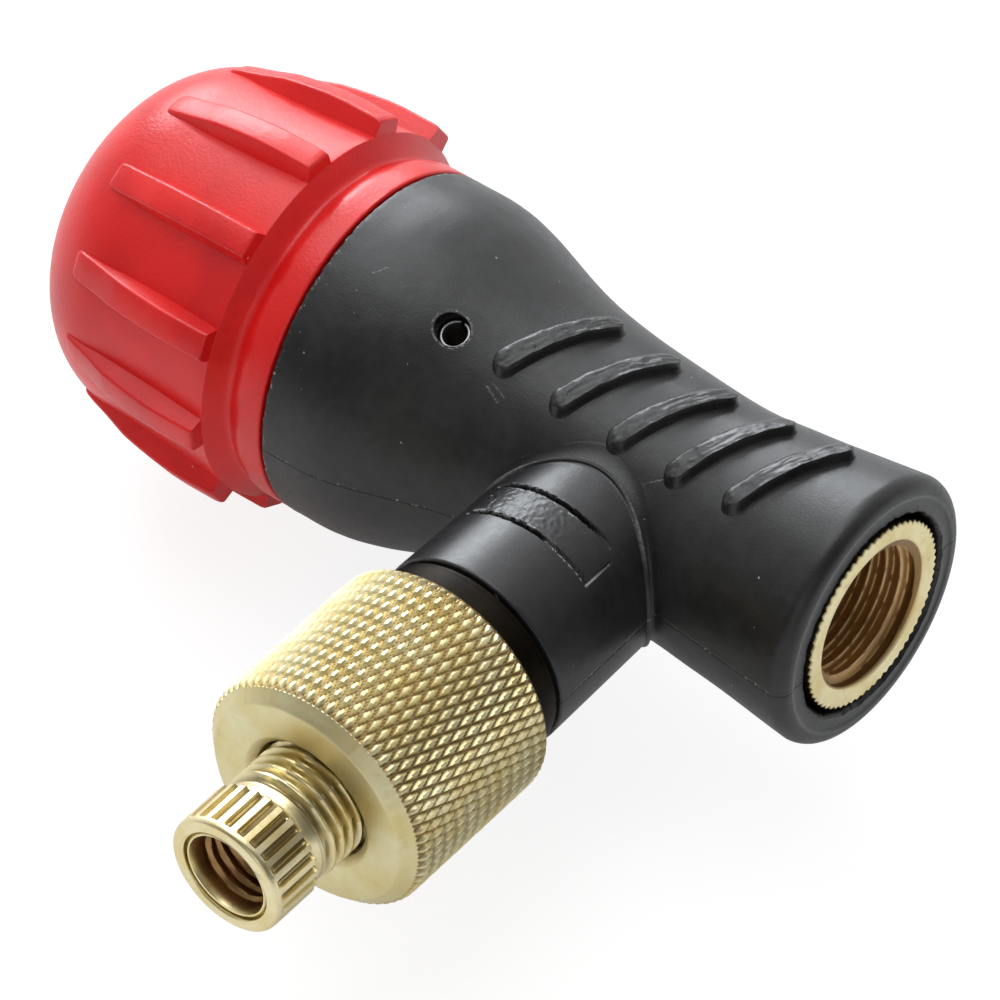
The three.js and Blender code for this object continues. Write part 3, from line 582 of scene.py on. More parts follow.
class Graph:
    """The nodes of one material or of the world."""

    def __init__(self, owner: bpy.types.ID, output: str) -> None:
        """Empties the owner's node tree and adds its output node.

        Args:
            owner: The material or the world.
            output: The type of its output node.
        """
        owner.use_nodes = True
        self.tree = owner.node_tree
        self.tree.nodes.clear()
        self.out = self.tree.nodes.new(output)

    def node(
        self,
        kind: str,
        settings: dict[str, object] | None = None,
        values: Sockets | None = None,
        output: int | str = 0,
    ) -> Wire:
        """Adds a node.

        Args:
            kind: Its type.
            settings: What is set on the node itself, before its sockets.
            values: What its sockets get, by name or number: wires, numbers, colours or vectors.
            output: Which of its outputs is wanted.

        Returns:
            That output.
        """
        node = self.tree.nodes.new(kind)
        for name, value in (settings or {}).items():
            setattr(node, name, value)
        for name, value in (values or {}).items():
            socket = node.inputs[name]
            if isinstance(value, Wire):
                self.tree.links.new(value.socket, socket)
            elif isinstance(value, tuple) and socket.type == "RGBA":
                socket.default_value = (*value, 1.0)
            else:
                socket.default_value = value
        return Wire(self, node.outputs[output])

    def math(self, operation: str, *terms: Number) -> Wire:
        """Adds a Math node for its terms."""
        return self.node("ShaderNodeMath", {"operation": operation}, dict(enumerate(terms)))

    def vector(self, operation: str, *terms: object) -> Wire:
        """Adds a Vector Math node for its terms, and gives its vector or its number."""
        output = "Value" if operation in ("DOT_PRODUCT", "LENGTH") else "Vector"
        return self.node("ShaderNodeVectorMath", {"operation": operation}, dict(enumerate(terms)), output)

    def away(self, place: Wire, start: Vector, end: Vector) -> Wire:
        """How far a place is from a straight line between two points.

        Args:
            place: The coordinates.
            start: One end, in those coordinates but in millimetres.
            end: The other end.

        Returns:
            The distance in millimetres.
        """
        run = (end - start) * MM
        past = self.vector("SUBTRACT", place, tuple(start * MM))
        share = (self.vector("DOT_PRODUCT", past, tuple(run)) / run.length_squared).most(0.0).least(1.0)
        foot = self.node("ShaderNodeVectorMath", {"operation": "SCALE"}, {0: tuple(run), 3: share})
        return self.vector("LENGTH", self.vector("SUBTRACT", past, foot)) / MM

    def place(self, centre: Vector, scale: Place = (1.0, 1.0, 1.0)) -> Wire:
        """The object's own coordinates about a centre.

        Args:
            centre: The centre, in metres.
            scale: How much they are stretched each way.

        Returns:
            The coordinates.
        """
        plain = self.node("ShaderNodeTexCoord", output="Object")
        point = {"vector_type": "POINT"}
        moved = self.node("ShaderNodeMapping", point, {"Vector": plain, "Location": tuple(-centre)})
        return self.node("ShaderNodeMapping", point, {"Vector": moved, "Scale": scale})

    def parts(self, vector: Wire) -> tuple[Wire, Wire, Wire]:
        """The three numbers of a vector."""
        first = self.node("ShaderNodeSeparateXYZ", values={"Vector": vector})
        return first, first.beside("Y"), first.beside("Z")

    def grain(self, vector: Wire, size: float, detail: float = 2.0, rough: float = 0.5) -> Wire:
        """Noise from 0 to 1 whose features are about this many millimetres across."""
        values = {"Vector": vector, "Scale": 1 / (size * MM), "Detail": detail, "Roughness": rough}
        return self.node("ShaderNodeTexNoise", None, values)

    def specks(self, vector: Wire, spacing: float, size: float, share: float) -> Wire:
        """Small round specks.

        Args:
            vector: The coordinates.
            spacing: How far apart the places that may hold one are, in millimetres.
            size: How wide a speck is, as a share of the spacing.
            share: How many of those places hold one, from 0 to 1.

        Returns:
            A mask that is 1 on the specks.
        """
        cells = self.node("ShaderNodeTexVoronoi", None, {"Vector": vector, "Scale": 1 / (spacing * MM)})
        chance, _, width = self.parts(cells.beside("Color"))
        near = cells / (width * size + size * 0.3)
        return near.step(1.0, 0.5) * chance.step(1 - share, 1 - share + 0.01)

    def mix(self, share: Number, first: object, second: object) -> Wire:
        """Mixes two colours."""
        settings = {"data_type": "RGBA", "blend_type": "MIX", "clamp_factor": True}
        return self.node("ShaderNodeMix", settings, {0: share, 6: first, 7: second}, output=2)

    def bump(self, height: Wire, depth: float, normal: Wire | None = None) -> Wire:
        """A bump.

        Args:
            height: Its height, from 0 to 1.
            depth: How high it stands at 1, in millimetres.
            normal: The bump under it, if any.

        Returns:
            The normal.
        """
        values: Sockets = {"Height": height, "Strength": 1.0, "Distance": depth * MM}
        if normal:
            values["Normal"] = normal
        return self.node("ShaderNodeBump", None, values)

    def surface(self, shader: Wire) -> None:
        """Joins a shader to the output."""
        self.tree.links.new(shader.socket, self.out.inputs["Surface"])


# ---- Finishes ----------------------------------------------------------------------------------------


class Finish:
    """A finish that can be put on a piece."""

    name: str = "finish"

    def dress(self, graph: Graph) -> Sockets:
        """The sockets of the principled shader for this finish."""
        raise NotImplementedError

    def material(self) -> bpy.types.Material:
        """The finish as a material.

        Returns:
            The material, made once for each name.
        """
        made = bpy.data.materials.get(self.name)
        if made:
            return made
        made = bpy.data.materials.new(self.name)
        graph = Graph(made, "ShaderNodeOutputMaterial")
        graph.surface(graph.node("ShaderNodeBsdfPrincipled", None, self.dress(graph)))
        return made

    def put_on(self, *pieces: bpy.types.Object) -> None:
        """Gives pieces this finish as their only material.

        Args:
            pieces: The pieces.
        """
        for piece in pieces:
            piece.data.materials.clear()
            piece.data.materials.append(self.material())


@dataclass(frozen=True)
class Nylon(Finish):
    """Black moulded nylon: near black, satin, faintly grained, with small nicks and a parting line."""

    name: str = "moulded_nylon"
    deep: Colour = (0.010, 0.0098, 0.0095)
    pale: Colour = (0.021, 0.0215, 0.022)
    # Colour of the painted shade in gaps, grooves and holes.
    painted_shade: Colour = (0.003, 0.003, 0.003)
    # Bright tone of nicks and wear, also used for painted highlights.
    nick_and_highlight: Colour = (0.34, 0.35, 0.35)
    roughness: float = 0.29
    grain_size: float = 0.16
    grain_depth: float = 0.012
    wave_size: float = 3.0
    wave_depth: float = 0.05
    seam_half: float = 0.13
    seam_depth: float = 0.08

    def by_main_axis(self, graph: Graph, place: Wire) -> tuple[Wire, Wire]:
        """Where a place lies by the main axis.

        Args:
            graph: The material's graph.
            place: The coordinates.

        Returns:
            Its depth behind the mouth and its distance from the axis, in millimetres.
        """
        x, y, z = graph.parts(place)
        return MOUTH_X - x / MM, ((y / MM - AXIS_Y) ** 2 + (z / MM) ** 2) ** 0.5

    def by_chuck_axis(self, graph: Graph, place: Wire) -> tuple[Wire, Wire]:
        """Where a place lies by the chuck's axis.

        Args:
            graph: The material's graph.
            place: The coordinates.

        Returns:
            Its reach from the main axis in millimetres, and its angle about the chuck's axis in degrees.
        """
        x, y, z = graph.parts(place)
        return AXIS_Y - y / MM, graph.math("ARCTAN2", z, x - CHUCK_X * MM) * math.degrees(1)

    def painted_shade_mask(self, graph: Graph, place: Wire) -> Number:
        """A mask that is 1 where painted shade darkens this piece's gaps, grooves and holes."""
        return 0.0

    def marks(self, graph: Graph, place: Wire) -> Wire:
        """A mask that is 1 on this piece's own scratches and worn edges, and on its painted highlights
        where it has them.
        """
        return graph.grain(place, 0.35, 4.0, 0.7).step(0.72, 0.80) * 0.5

    def dress(self, graph: Graph) -> Sockets:
        """Mottled colour, painted shade in gaps and grooves, grain, waves, nicks, painted highlights and
        the line where the mould closed.

        Args:
            graph: The material's graph.

        Returns:
            The sockets of the principled shader.
        """
        place = graph.place(Vector((0, 0, AXIS_Z * MM)))
        _, _, height = graph.parts(place)
        cloud = graph.grain(place, 6.0, 3.0)
        mottle = graph.grain(place, 0.9, 3.0)
        tint = graph.mix((cloud * 0.6 + mottle * 0.4).step(0.35, 0.65), self.deep, self.pale)
        nicks = graph.specks(place, 1.5, 0.055, 0.5)
        broken = graph.grain(place, 0.8, 3.0).step(0.45, 0.6)
        seam = (abs(height) / MM).step(self.seam_half, self.seam_half * 0.35)
        wear_and_highlights = nicks.most(seam * broken * graph.grain(place, 0.25).step(0.52, 0.64))
        wear_and_highlights = wear_and_highlights.most(self.marks(graph, place))
        # Painted shade in gaps and grooves, then nicks, wear and painted highlights in the bright tone.
        colour = graph.mix(wear_and_highlights, graph.mix(self.painted_shade_mask(graph, place), tint, self.painted_shade), self.nick_and_highlight)
        rough = self.roughness + graph.grain(place, 0.5, 3.0) * 0.16 + cloud * 0.06 - wear_and_highlights * 0.1
        fine = graph.bump(graph.grain(place, self.grain_size, 2.0, 0.6), self.grain_depth)
        wave = graph.bump(graph.grain(place, self.wave_size, 1.0), self.wave_depth, fine)
        line = graph.bump(1 - seam * 0.9 + wear_and_highlights * 0.4, self.seam_depth, wave)
        return {"Base Color": colour, "Roughness": rough, "Normal": line, "IOR": 1.5}


@dataclass(frozen=True)
class ShellNylon(Nylon):
    """The shell's nylon, with its scratches, painted highlights round its pin hole and its mouth, and
    painted shade in that hole and in the gap about the insert.
    """

    name: str = "shell_nylon"
    scratches: tuple[tuple[Place, Place, float], ...] = (
        ((-4.95, 8.9, 23.86), (-4.39, 9.62, 24.05), 0.10),
        ((4.31, 8.05, 20.67), (5.29, 7.77, 20.24), 0.12),
        ((4.53, 8.35, 20.81), (5.53, 8.13, 20.44), 0.10),
        ((15.58, 8.25, 19.31), (17.1, 9.32, 19.97), 0.06),
    )
    # Radii of the mouth's painted highlight and painted shade, then of the pin hole's painted shade and rim
    # highlight.
    mouth_rim_highlight: float = 7.72
    mouth_gap_shade: float = 6.92
    pin_hole_shade: Point = (1.07, 1.03)
    pin_rim_highlight: float = 1.14
    rear_rim: Point = (36.75, 37.0)
    rear_specks: Point = (32.0, 37.0)

    def painted_shade_mask(self, graph: Graph, place: Wire) -> Number:
        """Painted shade in the gap about the insert and inside the pin hole.

        Args:
            graph: The material's graph.
            place: The coordinates.

        Returns:
            A mask that is 1 there.
        """
        depth, across = self.by_main_axis(graph, place)
        ragged = (graph.grain(place, 0.35, 3.0) - 0.5) * 0.5
        # Painted shade: black in the gap about the insert and inside the pin hole.
        gap = (across + ragged).step(self.mouth_gap_shade + 0.05, self.mouth_gap_shade - 0.05) * depth.step(8.0, 7.0)
        return gap.most(graph.away(place, *pin_line(0.0)).step(*self.pin_hole_shade))

    def marks(self, graph: Graph, place: Wire) -> Wire:
        """Scratches, painted highlights round the rims of the pin hole and the mouth, and the ragged rear
        rim.

        Args:
            graph: The material's graph.
            place: The coordinates.

        Returns:
            A mask that is 1 on wear and on painted highlights, both shown in the bright tone.
        """
        depth, across = self.by_main_axis(graph, place)
        ragged = graph.grain(place, 0.22, 3.0).step(0.42, 0.62)
        wear_and_highlights = super().marks(graph, place)
        # Painted highlight round the rim of the pin hole.
        ring = graph.away(place, *pin_line(0.0)).near(self.pin_rim_highlight, 0.09, 0.04)
        wear_and_highlights = wear_and_highlights.most(ring * ragged * 0.5)
        shift = Vector((0, 0, AXIS_Z))
        for start, end, half in self.scratches:
            line = graph.away(place, Vector(start) - shift, Vector(end) - shift)
            wear_and_highlights = wear_and_highlights.most(line.step(half, 0.0) * (ragged * 0.4 + 0.1))
        # Painted highlight along the mouth's rim.
        edge = across.near(self.mouth_rim_highlight, 0.15, 0.06) * depth.step(0.35, 0.15)
        wear_and_highlights = wear_and_highlights.most(edge * (graph.grain(place, 0.5, 3.0).step(0.35, 0.65) * 0.08 + 0.05))
        rim = depth.step(*self.rear_rim) * graph.grain(place, 0.3, 3.0).step(0.56, 0.66) * 0.7
        specks = depth.step(*self.rear_specks) * graph.specks(place, 0.5, 0.12, 0.35) * 0.8
        return wear_and_highlights.most(rim).most(specks)


@dataclass(frozen=True)
class StubNylon(Nylon):
    """The stub's nylon, darker than the shell's as painted shade, with painted highlights on the edges of
    its pad and painted shade in its grooves.

    A pad edge highlight is its reach, its half width, the angles where it starts and ends, and its
    brightness.
    """

    name: str = "stub_nylon"
    # Darker than the shell's tones: painted shade on the stub.
    deep: Colour = (0.008, 0.0075, 0.008)
    pale: Colour = (0.016, 0.016, 0.0175)
    roughness: float = 0.25
    pad_edge_highlights: tuple[tuple[float, float, float, float, float], ...] = (
        (8.68, 0.07, 84.0, 122.0, 0.4),
        (9.19, 0.08, 74.0, 118.0, 0.8),
        (11.47, 0.11, 82.0, 128.0, 1.0),
        (11.90, 0.07, 44.0, 82.0, 0.9),
    )
    pad_start: float = 44.5
    grooves: Point = (8.93, 11.74)
    bead_highlight_turns: Point = (22.0, 155.0)
    seam_line: tuple[Place, Place] = ((14.5, -3.75, 5.95), (15.1, -3.85, 4.9))

    def painted_shade_mask(self, graph: Graph, place: Wire) -> Number:
        """Painted shade in the two grooves along the pad.

        Args:
            graph: The material's graph.
            place: The coordinates.

        Returns:
            A mask that is 1 there.
        """
        reach, turn = self.by_chuck_axis(graph, place)
        low, high = (reach.near(groove, 0.20, 0.14) for groove in self.grooves)
        # Painted shade: the pad's grooves coloured near black.
        return (low * turn.step(56, 68)).most(high * turn.step(72, 80)) * turn.step(130, 124)

    def bead_highlight(self, graph: Graph, place: Wire) -> Wire:
        """A painted highlight along the crest of the bead where the stub leaves the shell.

        Args:
            graph: The material's graph.
            place: The coordinates.

        Returns:
            A mask that is faint along that crest.
        """
        x, _, z = graph.parts(place)
        depth, across = self.by_main_axis(graph, place)
        _, turn = self.by_chuck_axis(graph, place)
        shell = (depth - 13.0) ** 2 * 0.0098 + 7.65
        about = ((x / MM - CHUCK_X) ** 2 + (z / MM) ** 2) ** 0.5
        # Painted highlight along the bead's crest.
        line = abs(across - shell - 0.52).step(0.18, 0.08) * about.step(6.3, 6.4)
        ragged = graph.grain(place, 0.28, 3.0, 0.6).step(0.40, 0.56)
        start, end = self.bead_highlight_turns
        return line * (ragged * 0.25 + 0.22) * turn.step(start, start + 30) * turn.step(end, end - 20)

    def marks(self, graph: Graph, place: Wire) -> Wire:
        """Ragged painted highlights at the pad's edges and its corner, painted glints on the pad's upper
        side, specks, the seam at the rim and the bead's painted highlight.

        Args:
            graph: The material's graph.
            place: The coordinates.

        Returns:
            A mask that is 1 on wear and on painted highlights, both shown in the bright tone.
        """
        reach, turn = self.by_chuck_axis(graph, place)
        ragged = graph.grain(place, 0.3, 3.0, 0.6).step(0.46, 0.58)
        bend = (graph.grain(place, 0.9, 2.0) - 0.5) * 0.25
        wear_and_highlights = super().marks(graph, place)
        # Painted highlights along the pad's edges.
        for along, half, start, end, level in self.pad_edge_highlights:
            line = abs(reach - along + bend).step(half, half * 0.4) * turn.within(start, end, 2)
            wear_and_highlights = wear_and_highlights.most(line * ragged * level)
        # Painted highlight at the pad's corner.
        side = turn.near(self.pad_start, 1.0, 0.4) * reach.step(9.5, 9.8) * reach.step(12.0, 11.9)
        corner = side * reach.step(9.6, 11.6) * 0.8
        # Painted glints on the pad's upper side.
        glint_spots = graph.grain(place, 0.3, 4.0, 0.7).step(0.55, 0.72)
        rough = glint_spots * turn.step(78, 100) * turn.step(132, 122)
        rough = rough * reach.step(8.9, 9.2) * reach.step(11.9, 11.5) * 0.2
        seam = graph.away(place, *(Vector(end) for end in self.seam_line)).step(0.1, 0.04)
        specks = graph.specks(place, 0.9, 0.08, 0.4)
        return wear_and_highlights.most(corner).most(rough).most(seam).most(specks).most(self.bead_highlight(graph, place))


@dataclass(frozen=True)
class RedPlastic(Finish):
    """Red moulded plastic, satin gloss with a fine orange peel."""

    name: str = "moulded_red"
    deep: Colour = (0.70, 0.008, 0.009)
    bright: Colour = (0.82, 0.013, 0.012)
    scuff: Colour = (0.95, 0.55, 0.5)
    roughness: float = 0.23
    middle: float = 47.0

    def dress(self, graph: Graph) -> Sockets:
        """Slightly uneven red, a soft grain and a few pale scuffs.

        Args:
            graph: The material's graph.

        Returns:
            The sockets of the principled shader.
        """
        place = graph.place(MAIN_PLACE @ Vector((0, 0, self.middle * MM)))
        cloud = graph.grain(place, 5.0, 3.0)
        tint = graph.mix(cloud.step(0.35, 0.65), self.deep, self.bright)
        nicks = graph.specks(place, 2.2, 0.04, 0.35)
        colour = graph.mix(nicks * 0.8, tint, self.scuff)
        rough = self.roughness + graph.grain(place, 0.4, 3.0) * 0.14 + cloud * 0.05
        fine = graph.bump(graph.grain(place, 0.24, 3.0, 0.65), 0.026)
        wave = graph.bump(graph.grain(place, 2.5, 1.0), 0.035, fine)
        return {"Base Color": colour, "Roughness": rough, "Normal": wave, "IOR": 1.5}


@dataclass(frozen=True)
class Brass(Finish):
    """Turned brass, with tool marks about one of the two axes, and painted shade where it is hollow.

    A zero leaves out the painted shade in the bore (inside) and in the gap about it (wall), the painted
    highlights on the crests of a thread (thread, its pitch) or the dirt and painted shade in the valleys
    (valley, their radius).
    A fluted piece has its valleys darkened from one reach on, and its thread more faintly up to another.
    """

    name: str = "turned_brass"
    axis: Axis = Axis.CHUCK
    pale: Colour = (0.82, 0.75, 0.46)
    deep: Colour = (0.72, 0.59, 0.26)
    # Colour of stains, also used for painted shade deep in the bore and for dirt and painted shade in the
    # valleys.
    stain_and_shade: Colour = (0.30, 0.17, 0.05)
    stained: float = 0.25
    roughness: float = 0.26
    tool_depth: float = 0.004
    inside: float = 0.0
    bore_shade_tone: Colour = (0.36, 0.20, 0.08)
    inside_edge: float = 0.12
    valley: float = 0.0
    valley_depth: float = 0.3
    valley_dirt_shade_share: float = 0.75
    valley_end: float = 50.0
    fluted: float = 0.0
    threaded: float = 0.0
    thread_dirt_shade_share: float = 0.45
    wall: float = 0.0
    gap_shade_tone: Colour = (0.012, 0.009, 0.006)
    thread: float = 0.0
    thread_radius: float = 4.5
    thread_phase: float = 50.03
    crest_highlight_tone: Colour = (0.90, 0.72, 0.46)

    def bore_and_gap_shade(self, colour: Wire, graph: Graph, radius: Wire, along: Wire) -> Wire:
        """Paints shade into the bore and onto the wall in the gap about it.

        Args:
            colour: The colour so far.
            graph: The material's graph.
            radius: The distance from the axis, in millimetres.
            along: The place along the axis, in millimetres.

        Returns:
            The colour with them.
        """
        if self.inside:
            # Painted shade in the bore, darker still deeper in.
            within = radius.step(self.inside, self.inside - self.inside_edge)
            colour = graph.mix(within * 0.95, colour, self.bore_shade_tone)
            colour = graph.mix(within * along.step(-1.0, -0.6) * 0.85, colour, self.stain_and_shade)
        if self.wall:
            # Painted shade on the wall in the gap about the piece.
            gap_wall_shade = radius.step(self.wall - 0.1, self.wall) * along.step(-0.05, -0.14)
            colour = graph.mix(gap_wall_shade * 0.95, colour, self.gap_shade_tone)
        return colour

    def crest_highlights(self, colour: Wire, graph: Graph, turns: Wire, radius: Wire, along: Wire) -> Wire:
        """Paints highlights on the crests of the inner thread.

        Args:
            colour: The colour so far.
            graph: The material's graph.
            turns: The number of turns along the thread, with its phase.
            radius: The distance from the axis, in millimetres.
            along: The place along the axis, in millimetres.

        Returns:
            The colour with them.
        """
        height = zigzag(graph.math("FRACT", turns))
        # Painted highlight on the thread's crests.
        edge = height.step(0.84, 0.95) * along.step(-10.2, -10.0) * along.step(-0.3, -0.6)
        edge = edge * radius.step(self.thread_radius, self.thread_radius - 0.1)
        return graph.mix(edge * 0.9, colour, self.crest_highlight_tone)

    def valley_dirt_and_shade(self, colour: Wire, graph: Graph, radius: Wire, along: Wire) -> Wire:
        """Darkens the valleys between the teeth, the flutes or the turns of the outer thread, as dirt and
        painted shade.

        Args:
            colour: The colour so far.
            graph: The material's graph.
            radius: The distance from the axis, in millimetres.
            along: The place along the axis, in millimetres.

        Returns:
            The colour with them.
        """
        # Dirt and painted shade in the valleys, in the stain colour.
        sunk = radius.step(self.valley + self.valley_depth, self.valley)
        outside = radius.step(self.valley - 0.16, self.valley - 0.10)
        reach = 0 - along
        share: Number = self.valley_dirt_shade_share
        if self.fluted:
            share = reach.step(self.fluted - 0.05, self.fluted + 0.05) * self.valley_dirt_shade_share
            share = share + reach.step(self.threaded, self.threaded - 0.1) * self.thread_dirt_shade_share
        share = reach.step(self.valley_end, self.valley_end - 0.1) * share
        return graph.mix(sunk * outside * share, colour, self.stain_and_shade)

    def dress(self, graph: Graph) -> Sockets:
        """Uneven tone, stains, painted shade in the bore, dirt and painted shade in the valleys, painted
        highlights on thread crests, and fine rings from the lathe.

        Args:
            graph: The material's graph.

        Returns:
            The sockets of the principled shader.
        """
        place = graph.place(self.axis.matrix.translation)
        x, y, z = graph.parts(place)
        along, side = (x, y) if self.axis is Axis.MAIN else (y, x)
        radius = (side * side + z * z) ** 0.5
        rings = graph.node("ShaderNodeCombineXYZ", None, {"X": radius, "Y": along, "Z": 0.0})
        tool = graph.grain(rings, 0.09, 2.0, 0.6)
        cloud = graph.grain(place, 2.5, 4.0, 0.6)
        tint = graph.mix(cloud.step(0.22, 0.78), self.deep, self.pale)
        stains = graph.grain(place, 1.1, 5.0, 0.65).step(0.56, 0.74) * self.stained
        colour = graph.mix(stains, tint, self.stain_and_shade)
        colour = self.bore_and_gap_shade(colour, graph, radius / MM, along / MM)
        if self.thread:
            turns = graph.math("ARCTAN2", y, z) / TURN - along / (self.thread * MM) + self.thread_phase
            colour = self.crest_highlights(colour, graph, turns, radius / MM, along / MM)
        if self.valley:
            colour = self.valley_dirt_and_shade(colour, graph, radius / MM, along / MM)
        rough = self.roughness + tool * 0.08 + graph.grain(place, 0.5, 3.0) * 0.1 + stains * 0.3
        marks = graph.bump(tool, self.tool_depth)
        dents = graph.bump(graph.grain(place, 0.35, 3.0), 0.01, marks)
        return {"Base Color": colour, "Roughness": rough, "Metallic": 1.0, "Normal": dents}


@dataclass(frozen=True)
class Steel(Finish):
    """Ground steel."""

    name: str = "ground_steel"
    tone: Colour = (0.62, 0.62, 0.63)
    brushed: Colour = (0.42, 0.41, 0.40)
    roughness: float = 0.25

    def dress(self, graph: Graph) -> Sockets:
        """Grey metal with a brushed grain.

        Args:
            graph: The material's graph.

        Returns:
            The sockets of the principled shader.
        """
        place = graph.place(MAIN_PLACE.translation, (0.2, 1.0, 1.0))
        grain = graph.grain(place, 0.12, 3.0)
        return {
            "Base Color": graph.mix(grain * 0.5, self.tone, self.brushed),
            "Roughness": self.roughness + grain * 0.15,
            "Metallic": 1.0,
            "Normal": graph.bump(grain, 0.004),
        }


@dataclass(frozen=True)
class Plain(Finish):
    """A dull, slightly uneven finish of one tone, for the seals and the bearing pieces inside."""

    name: str = "seal_rubber"
    tone: Colour = (0.018, 0.018, 0.018)
    cloud: Colour = (0.06, 0.06, 0.06)
    cloud_size: float = 0.6
    cloud_detail: float = 4.0
    cloud_share: float = 0.5
    roughness: float = 0.55
    uneven: float = 0.2
    grain_size: float = 0.1
    grain_depth: float = 0.01

    def dress(self, graph: Graph) -> Sockets:
        """One tone with a fine bloom.

        Args:
            graph: The material's graph.

        Returns:
            The sockets of the principled shader.
        """
        place = graph.place(MAIN_PLACE.translation)
        bloom = graph.grain(place, self.cloud_size, self.cloud_detail)
        return {
            "Base Color": graph.mix(bloom * self.cloud_share, self.tone, self.cloud),
            "Roughness": self.roughness + bloom * self.uneven,
            "Normal": graph.bump(graph.grain(place, self.grain_size), self.grain_depth),
        }


NYLON = Nylon()
SHELL_NYLON = ShellNylon()
STUB_NYLON = StubNylon()
RIDGE_NYLON = Nylon(name="ridge_nylon", roughness=0.24, wave_size=1.2, wave_depth=0.06, grain_size=0.25)
RED = RedPlastic()
NUT_BRASS = Brass(
    name="nut_brass", pale=(0.83, 0.77, 0.50), deep=(0.76, 0.64, 0.31), stained=0.1, valley=7.57,
    valley_depth=0.22, valley_dirt_shade_share=0.9, valley_end=31.05, stain_and_shade=(0.27, 0.15, 0.045), roughness=0.38,
)
ADAPTER_BRASS = Brass(
    name="adapter_brass", pale=(0.90, 0.82, 0.55), deep=(0.76, 0.62, 0.28), stained=0.3, roughness=0.22,
    inside=2.70, valley=3.46, valley_depth=0.30, valley_dirt_shade_share=0.95, valley_end=38.7, fluted=35.33,
    threaded=34.7, stain_and_shade=(0.15, 0.10, 0.038),
)
# The nipple's brass is painted near black as shade.
SHADED_NIPPLE_BRASS = Brass(
    name="shaded_nipple_brass", pale=(0.016, 0.012, 0.008), deep=(0.007, 0.006, 0.005), stained=0.05,
    roughness=0.4, stain_and_shade=(0.05, 0.03, 0.015),
)
DEPRESSOR_BRASS = Brass(name="depressor_brass")
INSERT_BRASS = Brass(
    name="insert_brass", axis=Axis.MAIN, pale=(0.84, 0.77, 0.50), deep=(0.70, 0.57, 0.26), stained=0.2,
    roughness=0.34, inside=4.93, bore_shade_tone=(0.60, 0.37, 0.155), stain_and_shade=(0.19, 0.11, 0.038), wall=5.95,
    thread=1.058,
)
CORE_BRASS = Brass(
    name="core_brass", axis=Axis.MAIN, pale=(0.12, 0.10, 0.06), deep=(0.07, 0.055, 0.03), stained=0.4
)
STEEL = Steel()
PIN_STEEL = Steel(name="pin_steel", tone=(0.36, 0.36, 0.36), roughness=0.3)
RUBBER = Plain()
POLYMER = Plain(
    name="white_polymer", tone=(0.80, 0.78, 0.70), cloud=(0.66, 0.62, 0.52), cloud_size=1.5,
    cloud_detail=3.0, cloud_share=0.4, roughness=0.4, uneven=0.15, grain_size=0.15, grain_depth=0.006,
)


# ---- Pieces ------------------------------------------------------------------------------------------


def keep(piece: bpy.types.Object, body: str, slot: str, *stands_for: str) -> bpy.types.Object:
    """Attaches a finished piece to its body and hides the CAD nodes that it replaces.

    Args:
        piece: The piece, in its place.
        body: The body that it rides on.
        slot: The record's material slot; not used.
        stands_for: The CAD nodes that it replaces.

    Returns:
        The piece.
    """
    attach(piece, body)
    if stands_for:
        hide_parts(*stands_for)
    LOG.info("%s: %d faces on %s", piece.name, len(piece.data.polygons), body)
    return piece


def set_up(piece: bpy.types.Object, place: Matrix, degrees: float, finish: Finish) -> bpy.types.Object:
    """Sets a turned piece in its place, smooths it and gives it its finish.

    Args:
        piece: The piece.
        place: Where it goes.
        degrees: Edges sharper than this stay sharp.
        finish: Its finish.

    Returns:
        The piece.
    """
    Bench.place(piece, place)
    Bench.shade(piece, degrees)
    finish.put_on(piece)
    return piece


